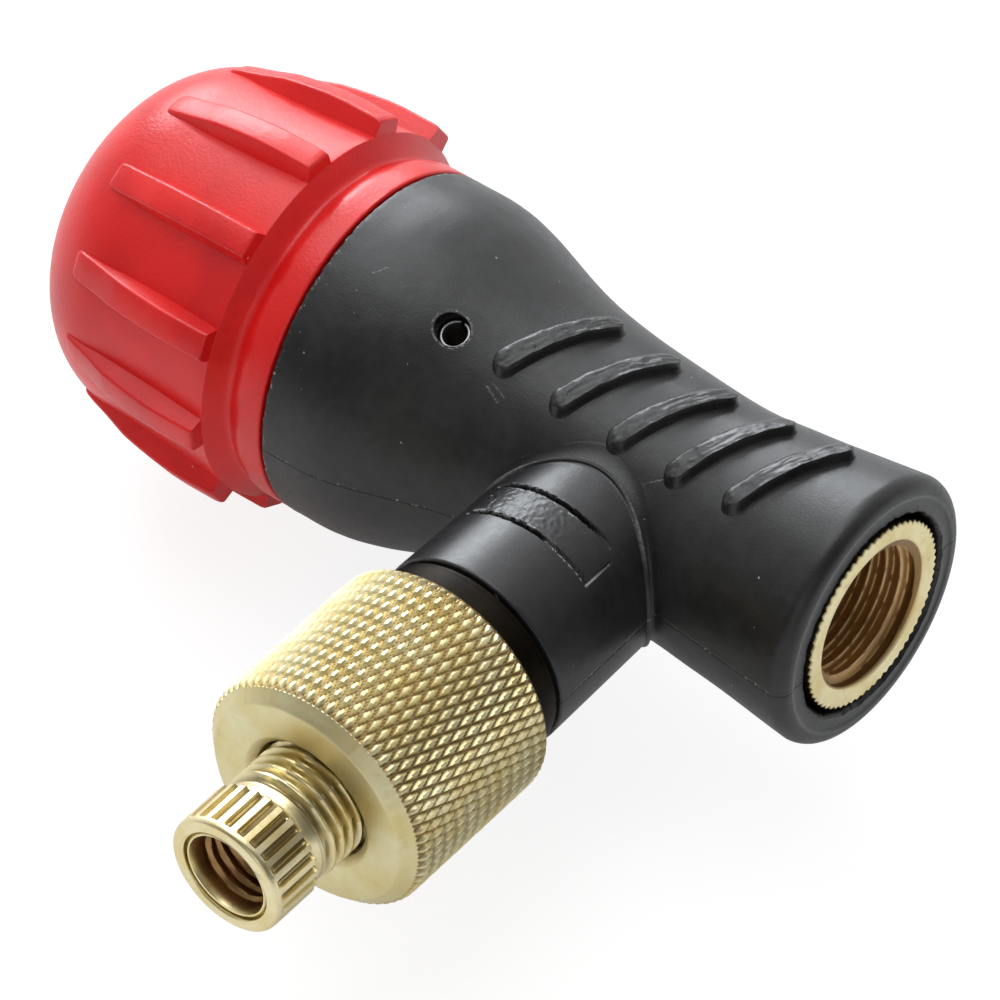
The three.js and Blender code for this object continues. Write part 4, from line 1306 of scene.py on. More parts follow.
@dataclass
class Housing:
    """The moulded nylon body: its waisted shell, the stub of the chuck, the grip ridges and a bare pad.

    Outlines are (radius, depth) points, and the stub's are (radius, reach) points.
    """

    waist: tuple[Point, ...] = (
        (8.76, 0.95), (7.95, 8.06), (7.65, 13.7), (8.68, 23.96), (10.75, 30.9), (11.30, 33.6),
        (11.35, 36.0),
    )
    length: float = 37.1
    rear: float = 11.35
    rear_round: float = 0.18
    rear_ragged: float = 0.6
    mouth_round: float = 0.95
    lip: tuple[Point, ...] = ((6.76, 0.02), (6.84, 0.06), (7.4, 0.10), (7.56, 0.07), (7.68, 0.0))
    bore: tuple[Point, ...] = (
        (7.5, 37.0), (7.5, 26.1), (6.8, 26.1), (6.8, 22.7), (5.4, 22.7), (5.4, 12.6), (5.8, 12.6),
        (5.8, 7.7), (6.45, 7.7), (6.5, 0.5), (6.62, 0.18), (6.76, 0.02),
    )
    steps: int = 256
    pin_bore: float = 1.04
    pin_sunk: float = 0.6
    stub_root: float = 6.3
    stub_flare: float = 0.3
    stub_reach: float = 16.7
    stub_wall_end: float = 16.2
    stub_bore: float = 4.6
    stub_steps: int = 360
    skirt_rows: int = 10
    skirt_toe: float = 0.12
    wall_rows: int = 110
    root_bead: tuple[Point, ...] = ((0.12, 0.03), (0.24, 0.11), (0.29, 0.22), (0.24, 0.33), (0.11, 0.41))
    bead_width: float = 0.50
    pad_reaches: Point = (8.9, 11.72)
    pad_start: float = 45.0
    pad_turns: Point = (38, 135)
    groove_depth: float = 0.42
    ridge_count: int = 5
    ridge_first: float = 6.3
    ridge_pitch: float = 4.25
    ridge_length: float = 8.75
    ridge_width: float = 1.5
    ridge_height: float = 0.68
    ridge_slant: float = math.radians(22.5)
    ridge_foot: float = 0.12
    ridge_round: float = 0.5
    ridge_cells: tuple[int, int] = (110, 40)

    def __post_init__(self) -> None:
        """Draws the shell's outline and the stub's end once."""
        self.outline = spline(self.waist, 96)
        self.table = [(depth, radius) for radius, depth in self.outline] + [(self.length, self.rear)]
        tail_start = self.stub_wall_end + 0.1
        end = rounded(
            [
                (self.stub_radius(tail_start), tail_start),
                (self.stub_radius(self.stub_reach), self.stub_reach, 0.22),
                (self.stub_bore, self.stub_reach, 0.1),
                (self.stub_bore, 15.5),
            ]
        )
        self.tail = [*end, (self.stub_bore, 7.3), (3.3, 7.3), (3.3, 4.6)]

    def radius(self, depth: float) -> float:
        """The shell's radius at a depth."""
        return between(self.table, depth)

    def settle(self, radius: float, angle: float, depth: float) -> Polar:
        """Waves the shell's wall a little, and roughens the mouth's lip and the rear rim.

        Args:
            radius: A point's distance from the main axis.
            angle: Its angle about it.
            depth: Its depth.

        Returns:
            Where the point goes.
        """
        if radius < 6.85 and depth < 0.6:
            radius += 0.12 * ripple(angle, 9, 4.0) + 0.09 * ripple(angle, 40, 6.0)
        if radius > 7.6 and depth > 0.5:
            radius += 0.03 * ripple(angle, 2.2, depth * 0.25)
        if depth > self.length - self.rear_ragged and radius > 10:
            ragged = ripple(angle, 30, 3.0) + 0.7 * ripple(angle, 75, 9.0)
            depth += 0.07 * max(-0.9, ragged)
            radius += 0.04 * ripple(angle, 45, 5.0)
        return radius, angle, depth

    def shell(self) -> bpy.types.Object:
        """The shell with its bore, its pin hole and the opening of its stub.

        Returns:
            The piece.
        """
        face = self.outline[0][0] - self.mouth_round
        corner = [
            (face + self.mouth_round * math.sin(t), self.mouth_round * (1 - math.cos(t)))
            for t in (QUARTER * i / 8 for i in range(8))
        ]
        outside = [*self.lip, *corner, *self.outline, (self.rear, 36.7)]
        rim = rounded([outside[-1], (self.rear, self.length, self.rear_round), (7.6, self.length)], 3)
        shell = Bench.turn("housing_shell", [*stepped(outside, 0.5), *rim[1:], *self.bore], self.steps)
        Bench.warp(shell, self.settle)
        Bench.place(shell, MAIN_PLACE)
        Bench.bore(shell, *pin_line(AXIS_Z), self.pin_bore)
        port = Vector((CHUCK_X, AXIS_Y, AXIS_Z))
        Bench.bore(shell, port, port - Vector((0, 12, 0)), self.stub_bore)
        Bench.shade(shell, 32)
        SHELL_NYLON.put_on(shell)
        return keep(shell, "body", "black_nylon", "body_housing")

    def side(self, radius: float, angle: float, proud: float = 0.0) -> float:
        """The reach at which a line along the chuck's axis leaves the shell.

        Args:
            radius: The line's distance from the chuck's axis.
            angle: Its angle about it, from the mouth towards the ridges.
            proud: How much larger than the shell the surface is taken to be.

        Returns:
            The reach, from the main axis.
        """
        around = self.radius(CHUCK_DEPTH - radius * math.cos(angle)) + proud
        return chord(around, radius * math.sin(angle))

    def stub_radius(self, reach: float) -> float:
        """The stub's radius at a reach."""
        return self.stub_root + self.stub_flare * reach / self.stub_reach

    def pad_relief(self, angle: float, reach: float) -> float:
        """How far the bare moulded pad raises or sinks the stub's wall.

        Args:
            angle: The angle about the chuck's axis.
            reach: The reach from the main axis.

        Returns:
            The relief in millimetres.
        """
        turn = math.degrees(angle) % 360
        if not self.pad_turns[0] < turn < self.pad_turns[1]:
            return 0.0
        low, high = self.pad_reaches
        aside = (turn - self.pad_start) * math.radians(1) * self.stub_root
        bend = 0.05 * wobble(turn * 0.12, reach * 0.5)
        fade = blend(133, 126, turn)
        bend += 0.03 * wobble(turn * 0.5, 3.0) * blend(80, 95, turn)
        body_line = self.groove(reach - low - bend, 0.19) * blend(46, 74, turn) * fade
        nut_line = self.groove(reach - high - bend, 0.19) * blend(70, 84, turn) * fade
        faint = 0.25 * self.groove(reach - high - bend, 0.12) * blend(-0.1, 0.1, aside) * fade
        side_line = self.groove(aside, 0.11) * blend(9.4, 9.8, reach) * blend(high + 0.1, high, reach)
        within = blend(low, low + 0.2, reach) * blend(high, high - 0.2, reach)
        within *= blend(0, 0.5, aside) * fade
        rough = wobble(turn * 0.45, reach * 3.2, 7.0) + 0.6 * wobble(turn * 0.9, reach * 7.0, 2.0)
        rough *= 0.04 * blend(62, 85, turn) + 0.004
        return within * rough - self.groove_depth * max(body_line, nut_line, faint, side_line * 0.25)

    @staticmethod
    def groove(away: float, half: float) -> float:
        """How much of a groove's depth there is at a distance from its middle."""
        return blend(half, half * 0.35, abs(away))

    def skirt(self, row: int, angle: float, wall: float, foot: float, lift: float) -> Polar:
        """A point of the skirt that blends the stub into the shell.

        Args:
            row: The ring's number, 0 for the edge that is buried in the shell.
            angle: The angle about the chuck's axis.
            wall: The radius of the stub's wall.
            foot: The reach at which that wall meets the shell.
            lift: How far up the wall the skirt goes.

        Returns:
            The point's radius, angle and reach.
        """
        toe = wall + min(0.9, 0.4 + lift * 0.8) * (1 - 0.35 * math.sin(angle) ** 2)
        if row == 0:
            toe += self.skirt_toe
            return toe, angle, self.side(toe, angle) - 0.15
        share = (row - 1) / (self.skirt_rows - 1)
        low, corner, high = (toe, self.side(toe, angle)), (wall, foot), (wall, foot + lift)
        radius, reach = (
            low[i] * (1 - share) ** 2 + corner[i] * 2 * share * (1 - share) + high[i] * share**2
            for i in (0, 1)
        )
        return radius, angle, reach

    def stub_ring(self, index: int, angle: float) -> Polar:
        """A point of the stub: its skirt, its bead, its wall with the pad, and its end.

        Args:
            index: The ring's number.
            angle: The angle about the chuck's axis.

        Returns:
            The point's radius, angle and reach.
        """
        wall = self.stub_root + 0.02
        foot = self.side(wall, angle)
        lift = max(0.3, self.side(wall, angle, 0.3) - foot)
        if index <= self.skirt_rows:
            return self.skirt(index, angle, wall, foot, lift)
        top = foot + lift
        index -= self.skirt_rows + 1
        if index < len(self.root_bead):
            out, past = self.root_bead[index]
            return wall + out, angle, top + past
        index -= len(self.root_bead)
        if index < self.wall_rows:
            run = self.stub_wall_end - top - self.bead_width
            reach = top + self.bead_width + run * index / (self.wall_rows - 1)
            return self.stub_radius(reach) + self.pad_relief(angle, reach), angle, reach
        radius, reach = self.tail[index - self.wall_rows]
        if reach > self.stub_wall_end:
            reach += 0.03 * ripple(angle, 14, 2.0)
        return radius, angle, reach

    def stub(self) -> bpy.types.Object:
        """The stub, with the skirt that blends it into the shell.

        Returns:
            The piece.
        """
        count = 1 + self.skirt_rows + len(self.root_bead) + self.wall_rows + len(self.tail)
        stub = Bench.turn_rings("housing_stub", count, self.stub_steps, self.stub_ring)
        return keep(set_up(stub, CHUCK_PLACE, 32, STUB_NYLON), "body", "black_nylon")

    def ridge_point(self, number: int, u: float, v: float) -> Vector:
        """A point of a grip ridge, straight up out of the shell.

        Args:
            number: The ridge's number, from 0 at the mouth.
            u: How far the point is along the ridge, from -1 to 1.
            v: How far it is across it, from -1 to 1.

        Returns:
            The point in the part, in millimetres.
        """
        half_length, half_width = self.ridge_length / 2, self.ridge_width / 2
        cos, sin = math.cos(self.ridge_slant), math.sin(self.ridge_slant)
        along, across = u * (half_length + self.ridge_foot), v * (half_width + self.ridge_foot)
        y = along * cos + across * sin
        depth = self.ridge_first + number * self.ridge_pitch - along * sin + across * cos
        past = max(abs(along) - (half_length - half_width), 0)
        inside = half_width - math.hypot(past, across)
        curl = 1 - min(1.0, max(0.0, inside / self.ridge_round))
        easy = 0.35 * blend(-0.02, 0.06, inside) + 0.65 * math.sqrt(1 - curl * curl)
        steep = blend(-0.02, 0.12, inside)
        share = blend(-0.35, 0.35, across)
        height = self.ridge_height * (easy * share + steep * (1 - share))
        height *= 1 + 0.10 * wobble(along * 0.9, number * 5.0)
        height += 0.03 * wobble(along * 1.0, across * 4, number * 3.0) * steep - 0.04
        height += 0.05 * max(0.0, wobble(along * 2.2, across * 2.5, number * 7.0)) * steep
        top = chord(self.radius(depth) + height, y)
        return Vector((MOUTH_X - depth, AXIS_Y + y, AXIS_Z + top))

    def ridges(self) -> bpy.types.Object:
        """The grip ridges on top of the neck.

        Returns:
            The piece that holds them all.
        """
        ridges = [
            Bench.patch(f"housing_ridge_{i + 1}", self.ridge_cells, partial(self.ridge_point, i), 0.4)
            for i in range(self.ridge_count)
        ]
        ridge = Bench.join(ridges, "housing_ridges")
        Bench.shade(ridge, 40)
        RIDGE_NYLON.put_on(ridge)
        return keep(ridge, "body", "black_nylon")

    def build(self) -> None:
        """Makes the whole housing."""
        self.shell()
        self.stub()
        self.ridges()


@dataclass
class RollPin:
    """The split pin that holds the knob's hub, sunk in the shell's side."""

    outer: float = 0.98
    inner: float = 0.76
    foot: float = 6.6
    edge: float = 0.11
    slot: float = 0.3

    def build(self, housing: Housing) -> bpy.types.Object:
        """Makes the pin in the housing's pin hole.

        Args:
            housing: The housing.

        Returns:
            The piece.
        """
        top = housing.radius(PIN_DEPTH) - housing.pin_sunk
        corners = [
            (self.inner, self.foot), (self.outer, self.foot), (self.outer, top, self.edge),
            (self.inner, top, self.edge), (self.inner, self.foot),
        ]
        pin = Bench.turn("roll_pin", rounded(corners), 64)
        Bench.only()
        size = (self.slot * MM, 2 * MM, 8 * MM)
        bpy.ops.mesh.primitive_cube_add(size=1, scale=size, location=(0, MM, (top - 1) * MM))
        Bench.cut(pin, Bench.start("slot_blade"))
        along = Vector((1, 0, 0))
        turn = Matrix((along, PIN_OUT.cross(along), PIN_OUT)).transposed().to_4x4()
        axis = Vector((MOUTH_X - PIN_DEPTH, AXIS_Y, AXIS_Z)) * MM
        set_up(pin, Matrix.Translation(axis) @ turn, 35, PIN_STEEL)
        return keep(pin, "body", "steel", "retaining_pin")


@dataclass
class Knob:
    """The red knob: a collar, a valley, a barrel with twelve ribs, and a blunt dome."""

    front: float = 37.3
    collar: float = 11.35
    collar_length: float = 1.9
    valley: float = 10.7
    valley_end: float = 2.75
    barrel_start: float = 41.1
    barrel: float = 12.18
    bore: float = 7.65
    bore_end: float = 50.5
    dome_start: float = 50.0
    dome_radius: float = 11.6
    dome_length: float = 8.4
    dome_steps: int = 32
    fullness: float = 2.3
    steps: int = 192
    ribs: int = 12
    rib_phase: float = math.radians(-2.3)
    rib_half: float = 0.87
    rib_draft: float = 0.20
    rib_foot: float = 10.2
    rib_edge: float = 0.17
    tail_length: float = 0.9
    tail_left: float = 0.40
    tail_right: float = 0.15
    rib_crest: tuple[Point, ...] = (
        (41.1, 13.12), (41.5, 13.21), (43.9, 13.22), (45.2, 13.15), (46.4, 13.0), (47.6, 12.82),
        (48.6, 12.64), (49.4, 12.40), (50.0, 12.20), (50.8, 11.97), (51.6, 11.76), (52.2, 11.56),
        (52.5, 11.44), (52.7, 11.12),
    )

    def dome(self) -> list[Point]:
        """The dome's outline from the barrel to the axis.

        Returns:
            Its points.
        """
        power = 2 / self.fullness
        points = []
        for index in range(self.dome_steps):
            angle = QUARTER * index / self.dome_steps
            radius = self.dome_radius * math.cos(angle) ** power
            points.append((radius, self.dome_start + self.dome_length * math.sin(angle) ** power))
        return [*points, (0.0, self.dome_start + self.dome_length)]

    def settle(self, radius: float, angle: float, depth: float) -> Polar:
        """Waves the knob's outside a little.

        Args:
            radius: A point's distance from the main axis.
            angle: Its angle about it.
            depth: Its depth.

        Returns:
            Where the point goes.
        """
        if radius > 8 and depth > self.front + 0.2:
            radius += 0.025 * ripple(angle, 2, depth * 0.2)
        return radius, angle, depth

    def shell(self) -> bpy.types.Object:
        """The knob without its ribs.

        Returns:
            The piece.
        """
        front = rounded(
            [
                (0.0, self.bore_end),
                (self.bore, self.bore_end),
                (self.bore, self.front),
                (self.collar, self.front, 0.2),
                (self.collar, self.front + self.collar_length, 1.6),
                (self.valley, self.front + self.valley_end, 0.9),
                (self.barrel, self.barrel_start, 0.1),
                (self.dome_radius, self.dome_start),
            ]
        )
        shell = Bench.turn("knob_body", stepped([*front[:-1], *self.dome()], 0.8), self.steps)
        Bench.warp(shell, self.settle)
        return keep(set_up(shell, MAIN_PLACE, 30, RED), "knob", "red_plastic", "knob_shell")

    def rib(self) -> bpy.types.Object:
        """One rib, at the top of the knob as it is turned: drafted sides, an even front and a low tail.

        Returns:
            The rib.
        """
        start, end = self.rib_crest[0][0], self.rib_crest[-1][0]
        Bench.only()
        bpy.ops.mesh.primitive_cube_add(size=1)
        rib = Bench.start("knob_rib")
        for vertex in rib.data.vertices:
            x, y, z = vertex.co
            vertex.co = Vector((x + 0.5, 2 * y, start + (end - start) * (z + 0.5))) * MM
        bpy.ops.object.mode_set(mode="EDIT")
        for place, _ in self.rib_crest[1:-1]:
            bpy.ops.mesh.select_all(action="SELECT")
            bpy.ops.mesh.bisect(plane_co=(0, 0, place * MM), plane_no=(0, 0, 1))
        bpy.ops.object.mode_set(mode="OBJECT")
        for vertex in rib.data.vertices:
            x, y, z = vertex.co / MM
            crest = between(self.rib_crest, z)
            height = crest if x > 0.5 else self.rib_foot
            half = self.rib_half + self.rib_draft * (crest - height)
            past = min(1.0, max(0.0, (z - end + self.tail_length) / self.tail_length))
            half -= (self.tail_left if y < 0 else self.tail_right) * (1 - math.sqrt(1 - past * past))
            vertex.co = Vector((height, math.copysign(half, y), z)) * MM
        for edge in rib.data.edges:
            ends = [rib.data.vertices[i].co / MM for i in edge.vertices]
            high = min(point.x for point in ends) > self.rib_foot + 0.5
            front = all(point.z < start + 0.05 and point.x > 13 for point in ends)
            edge.select = front or (high and abs(ends[0].y - ends[1].y) < 0.5)
        Bench.only(rib)
        bpy.ops.object.mode_set(mode="EDIT")
        bpy.ops.mesh.bevel(offset=self.rib_edge * MM, segments=3, affect="EDGES")
        Bench.tidy_up()
        return rib

    def grip(self) -> bpy.types.Object:
        """All the ribs, copied from one.

        Returns:
            The piece that holds them all.
        """
        first = self.rib()
        ribs = [first, *(Bench.copy(first, f"knob_rib_{i + 1}") for i in range(1, self.ribs))]
        for number, rib in enumerate(ribs):
            turn = Matrix.Rotation(self.rib_phase + TURN * number / self.ribs, 4, "Z")
            Bench.place(rib, MAIN_PLACE @ turn)
        grip = Bench.join(ribs, "knob_ribs")
        Bench.shade(grip, 30)
        RED.put_on(grip)
        return keep(grip, "knob", "red_plastic")

    def build(self) -> None:
        """Makes the knob."""
        self.shell()
        self.grip()


@dataclass
class Insert:
    """The brass insert in the mouth, with its toothed rim and its thread.

    Its outside, from its back round to the countersink, and its floor are (radius, depth) points.
    """

    teeth: int = 66
    tooth_steps: int = 4
    tooth_depth: float = 0.2
    thread_pitch: float = 1.058
    thread_turn: float = 0.03
    thread_crest: float = 4.3
    thread_root: float = 4.78
    thread_end: float = 10.2
    rows_a_turn: int = 16
    countersink: float = 0.2
    outside: tuple[Point, ...] = (
        (0.3, 12.4), (5.6, 12.4), (5.6, 7.5), (6.2, 7.5), (6.2, 1.2), (6.2, 0.16), (6.1, 0.0),
        (5.95, 0.0), (5.6, 0.0), (5.3, 0.0), (5.06, 0.0), (4.96, 0.04), (4.84, 0.16),
    )
    floor: tuple[Point, ...] = ((4.5, 10.35), (0.3, 10.4))

    def __post_init__(self) -> None:
        """Counts the thread's rings."""
        self.row_step = self.thread_pitch / self.rows_a_turn
        self.rows = int((self.thread_end - self.countersink) / self.row_step)

    def ring(self, index: int, angle: float) -> Polar:
        """A point of the insert: its outside with the teeth, its thread and its floor.

        Args:
            index: The ring's number.
            angle: The angle about the main axis.

        Returns:
            The point's radius, angle and depth.
        """
        if index < len(self.outside):
            radius, depth = self.outside[index]
            if radius > 5.9 and depth < 7.4:
                tooth = zigzag((angle / TURN * self.teeth) % 1)
                radius -= self.tooth_depth * (1 - tooth) * (1 + 0.6 * ripple(angle, 20, 1.0))
            return radius, angle, depth
        row = index - len(self.outside)
        if row < self.rows:
            depth = self.countersink + row * self.row_step
            phase = (depth / self.thread_pitch + angle / TURN + self.thread_turn) % 1
            height = blend(0.40, 0.92, zigzag(phase))
            height *= blend(self.countersink - 0.1, self.countersink + 0.25, depth)
            return self.thread_root - (self.thread_root - self.thread_crest) * height, angle, depth
        radius, depth = self.floor[row - self.rows]
        return radius, angle, depth

    def build(self) -> bpy.types.Object:
        """Makes the insert.

        Returns:
            The piece.
        """
        count = len(self.outside) + self.rows + len(self.floor)
        insert = Bench.turn_rings("mouth_insert", count, self.teeth * self.tooth_steps, self.ring)
        set_up(insert, MAIN_PLACE, 50, INSERT_BRASS)
        return keep(insert, "body", "brass", "cartridge_insert")


@dataclass
class ChuckNut:
    """The knurled nut."""

    starts: int = 68
    start_steps: int = 8
    crest: float = 7.9
    valley: float = 7.58
    front: float = 31.8
    rear: float = 19.1
    row_pitch: float = 0.25
    twist: float = 0.0037

    def __post_init__(self) -> None:
        """Draws the outline on both sides of the knurl, in (radius, reach) points."""
        self.first, self.last = self.rear + 0.35, self.front - 0.78
        self.rows = round((self.last - self.first) / self.row_pitch)
        self.columns = self.starts * self.start_steps
        self.before = [
            (4.05, 24.85), (4.7, 24.85), (4.7, self.rear), (7.1, self.rear), (7.35, self.rear + 0.02),
            (7.5, self.rear + 0.12),
        ]
        self.after = [
            (7.60, self.last + 0.05), (7.5, self.last + 0.14), (7.28, self.last + 0.36),
            (7.02, self.front - 0.16), (6.86, self.front - 0.03), (6.76, self.front),
            (4.62, self.front), (4.5, self.front - 0.03), (4.05, self.front - 0.45),
        ]

    def knurl(self, column: int, row: int) -> float:
        """The height from 0 to 1 of the long diamonds between two sets of slanting grooves."""
        first, second = (column + row) / self.start_steps, (column - row) / self.start_steps
        return blend(0, 0.30, min(abs(first - round(first)), abs(second - round(second))))

    def ring(self, index: int, angle: float) -> Polar:
        """A point of the nut: its bore and rear, its knurl, and its front.

        Args:
            index: The ring's number.
            angle: The angle about the chuck's axis.

        Returns:
            The point's radius, angle and reach.
        """
        if index < len(self.before):
            radius, reach = self.before[index]
            return radius, angle, reach
        row = index - len(self.before)
        if row <= self.rows:
            column = round(angle / TURN * self.columns)
            reach = self.first + (self.last - self.first) * row / self.rows
            height = self.knurl(column, row) * (1 - 0.12 * max(0.0, wobble(column * 0.05, row * 0.2)))
            height *= blend(-1.2, 1.5, min(row, self.rows - row))
            radius = self.valley + (self.crest - self.valley) * height
            return radius, angle + self.twist * (reach - self.first), reach
        radius, reach = self.after[row - self.rows - 1]
        angle += self.twist * (self.last - self.first)
        return radius + 0.02 * ripple(angle, 20), angle, reach

    def build(self) -> bpy.types.Object:
        """Makes the nut.

        Returns:
            The piece.
        """
        count = len(self.before) + self.rows + 1 + len(self.after)
        nut = Bench.turn_rings("knurled_nut", count, self.columns, self.ring)
        return keep(set_up(nut, CHUCK_PLACE, 34, NUT_BRASS), "chuck", "brass", "chuck_nut")


@dataclass
class Adapter:
    """The splined valve adapter that screws into the nut.

    Its neck, head and tail are (radius, reach) points. The flutes are the reaches of their rings, and a
    flute's columns are (share of the flute's width, depth from 0 to 1).
    """

    pitch: float = 0.794
    rows_a_turn: int = 9
    crest: float = 3.82
    root: float = 3.34
    thread_start: float = 25.6
    thread_end: float = 34.7
    thread_fade: float = 3.52
    splines: int = 26
    spline_crest: float = 3.96
    spline_root: float = 3.50
    columns: tuple[Point, ...] = (
        (0.0, 0.0), (0.20, 0.0), (0.26, 0.75), (0.38, 1.0), (0.50, 1.0), (0.62, 1.0), (0.74, 0.75),
        (0.80, 0.0),
    )
    neck: tuple[Point, ...] = ((3.5, 34.78), (3.45, 34.95), (3.44, 35.15), (3.46, 35.28), (3.5, 35.34))
    flutes: tuple[float, ...] = (35.36, 35.42, 35.52, 36.2, 37.1, 38.0, 38.3, 38.45, 38.58)
    flute_ease: Point = (0.22, 0.06)
    head: tuple[Point, ...] = (
        (3.96, 38.68), (3.94, 38.82), (3.89, 38.94), (3.80, 39.02), (3.70, 39.05), (3.16, 39.05),
        (3.08, 39.0), (3.04, 38.55), (2.97, 38.5), (2.94, 38.6), (2.92, 38.85), (2.86, 38.91),
        (2.76, 38.88), (2.68, 38.7), (2.62, 38.35),
    )
    bore: float = 2.6
    bore_start: float = 38.1
    bore_end: float = 31.2
    bore_thread: float = 0.25
    tail: tuple[Point, ...] = (
        (2.4, 31.1), (1.5, 31.0), (1.5, 25.3), (1.7, 25.25), (3.1, 25.25), (3.3, 25.4),
    )

    def __post_init__(self) -> None:
        """Counts the rings of both threads and the columns all round."""
        self.step = self.pitch / self.rows_a_turn
        self.thread_rows = int((self.thread_end - self.thread_start) / self.step)
        self.bore_rows = int((self.bore_start - self.bore_end) / self.step)
        self.steps = self.splines * len(self.columns)

    def turn_height(self, reach: float, angle: float) -> float:
        """The height from 0 to 1 of a thread at a place."""
        return blend(0.1, 0.85, zigzag((reach / self.pitch - angle / TURN) % 1))

    def flute(self, row: int, angle: float) -> Polar:
        """A point of the flutes.

        Args:
            row: The ring's number among theirs.
            angle: The angle about the chuck's axis.

        Returns:
            The point's radius, angle and reach.
        """
        whole, column = divmod(round(angle / TURN * self.steps), len(self.columns))
        share, depth = self.columns[column]
        depth *= blend(-0.5, 3, len(self.flutes) - 1 - row)
        crest = self.spline_crest - (self.flute_ease[row] if row < len(self.flute_ease) else 0)
        radius = crest - (crest - self.spline_root) * depth
        return radius, (whole + share) / self.splines * TURN, self.flutes[row]

    def ring(self, index: int, angle: float) -> Polar:
        """A point of the adapter: its thread, neck, flutes, head, bore and tail.

        Args:
            index: The ring's number.
            angle: The angle about the chuck's axis.

        Returns:
            The point's radius, angle and reach.
        """
        if index < self.thread_rows:
            reach = self.thread_start + index * self.step
            height = self.turn_height(reach, angle) * blend(self.thread_start, 26.2, reach)
            radius = self.root + (self.crest - self.root) * height
            fill = blend(self.thread_end - 0.6, self.thread_end, reach)
            return radius + (self.thread_fade - radius) * fill, angle, reach
        index -= self.thread_rows
        if index < len(self.neck):
            return self.neck[index][0], angle, self.neck[index][1]
        index -= len(self.neck)
        if index < len(self.flutes):
            return self.flute(index, angle)
        index -= len(self.flutes)
        if index < len(self.head):
            return self.head[index][0], angle, self.head[index][1]
        index -= len(self.head)
        if index < self.bore_rows:
            reach = self.bore_start - index * self.step
            height = self.turn_height(reach, angle) * blend(self.bore_start, 37.6, reach)
            return self.bore - self.bore_thread * height, angle, reach
        radius, reach = self.tail[index - self.bore_rows]
        return radius, angle, reach

    def build(self) -> bpy.types.Object:
        """Makes the adapter.

        Returns:
            The piece.
        """
        count = self.thread_rows + len(self.neck) + len(self.flutes) + len(self.head)
        count += self.bore_rows + len(self.tail)
        adapter = Bench.turn_rings("splined_adapter", count, self.steps, self.ring)
        set_up(adapter, CHUCK_PLACE, 30, ADAPTER_BRASS)
        return keep(adapter, "adapter", "brass", "presta_adapter")


@dataclass
class Nipple:
    """The brass nipple that the nut hangs on; only its flange shows, painted near black as shade."""

    flange: float = 6.6
    flange_start: float = 16.9
    flange_end: float = 18.9
    flange_step: float = 0.15
    tube: float = 4.4
    groove: float = 3.8
    bore: float = 2.2
    root: float = 3.1
    foot: float = 4.9
    pocket: Point = (3.55, 23.2)

    def build(self) -> bpy.types.Object:
        """Makes the nipple.

        Returns:
            The piece.
        """
        narrow = self.flange - self.flange_step
        mouth, floor = self.pocket
        outline = rounded(
            [
                (self.bore, self.foot), (self.root, self.foot), (self.root, 7.5), (self.tube, 7.5, 0.1),
                (self.tube, self.flange_start), (narrow, self.flange_start, 0.1),
                (narrow, self.flange_start + 0.3), (self.flange, self.flange_start + 0.45, 0.08),
                (self.flange, self.flange_end, 0.25), (self.tube, self.flange_end), (self.tube, 22.15),
                (self.groove, 22.15), (self.groove, 23.2), (self.tube, 23.2), (self.tube, 24.65, 0.15),
                (mouth, 24.65), (mouth, floor), (self.bore, floor), (self.bore, self.foot),
            ],
            3,
        )
        nipple = Bench.turn("nipple_body", outline, 128)
        return keep(set_up(nipple, CHUCK_PLACE, 30, SHADED_NIPPLE_BRASS), "body", "brass", "side_nipple")


CAD_FINISHES: tuple[tuple[Finish, tuple[str, ...]], ...] = (
    (RUBBER, (
        "cartridge_seal", "core_seal", "stem_tip_seal", "stem_ring_front", "stem_ring_rear",
        "hub_dust_seal", "port_seal", "chuck_seal", "adapter_seal",
    )),
    (STEEL, ("piercing_pin", "valve_stem", "retaining_pin", "nut_snap_ring")),
    (CORE_BRASS, ("valve_block", "knob_hub")),
    (POLYMER, ("valve_seat", "thrust_washer")),
    (DEPRESSOR_BRASS, ("valve_depressor",)),
    (NYLON, ("body_housing",)),
    (RED, ("knob_shell",)),
    (INSERT_BRASS, ("cartridge_insert",)),
    (NUT_BRASS, ("chuck_nut",)),
    (ADAPTER_BRASS, ("presta_adapter",)),
    (SHADED_NIPPLE_BRASS, ("side_nipple",)),
)


# ---- The studio --------------------------------------------------------------------------------------


@dataclass(frozen=True)
class Softbox:
    """One soft lamp, aimed at the middle of the part."""

    name: str
    place: Place
    size: float
    power: float
    tint: Colour

    def hang(self, target: Vector) -> None:
        """Puts the lamp up.

        Args:
            target: What it is aimed at, in metres.
        """
        lamp = bpy.data.lights.new(self.name, "AREA")
        lamp.shape = "SQUARE"
        lamp.size = self.size
        lamp.energy = self.power
        lamp.color = self.tint
        holder = bpy.data.objects.new(self.name, lamp)
        bpy.context.scene.collection.objects.link(holder)
        holder.location = self.place
        holder.rotation_euler = (target - Vector(self.place)).to_track_quat("-Z", "Y").to_euler()


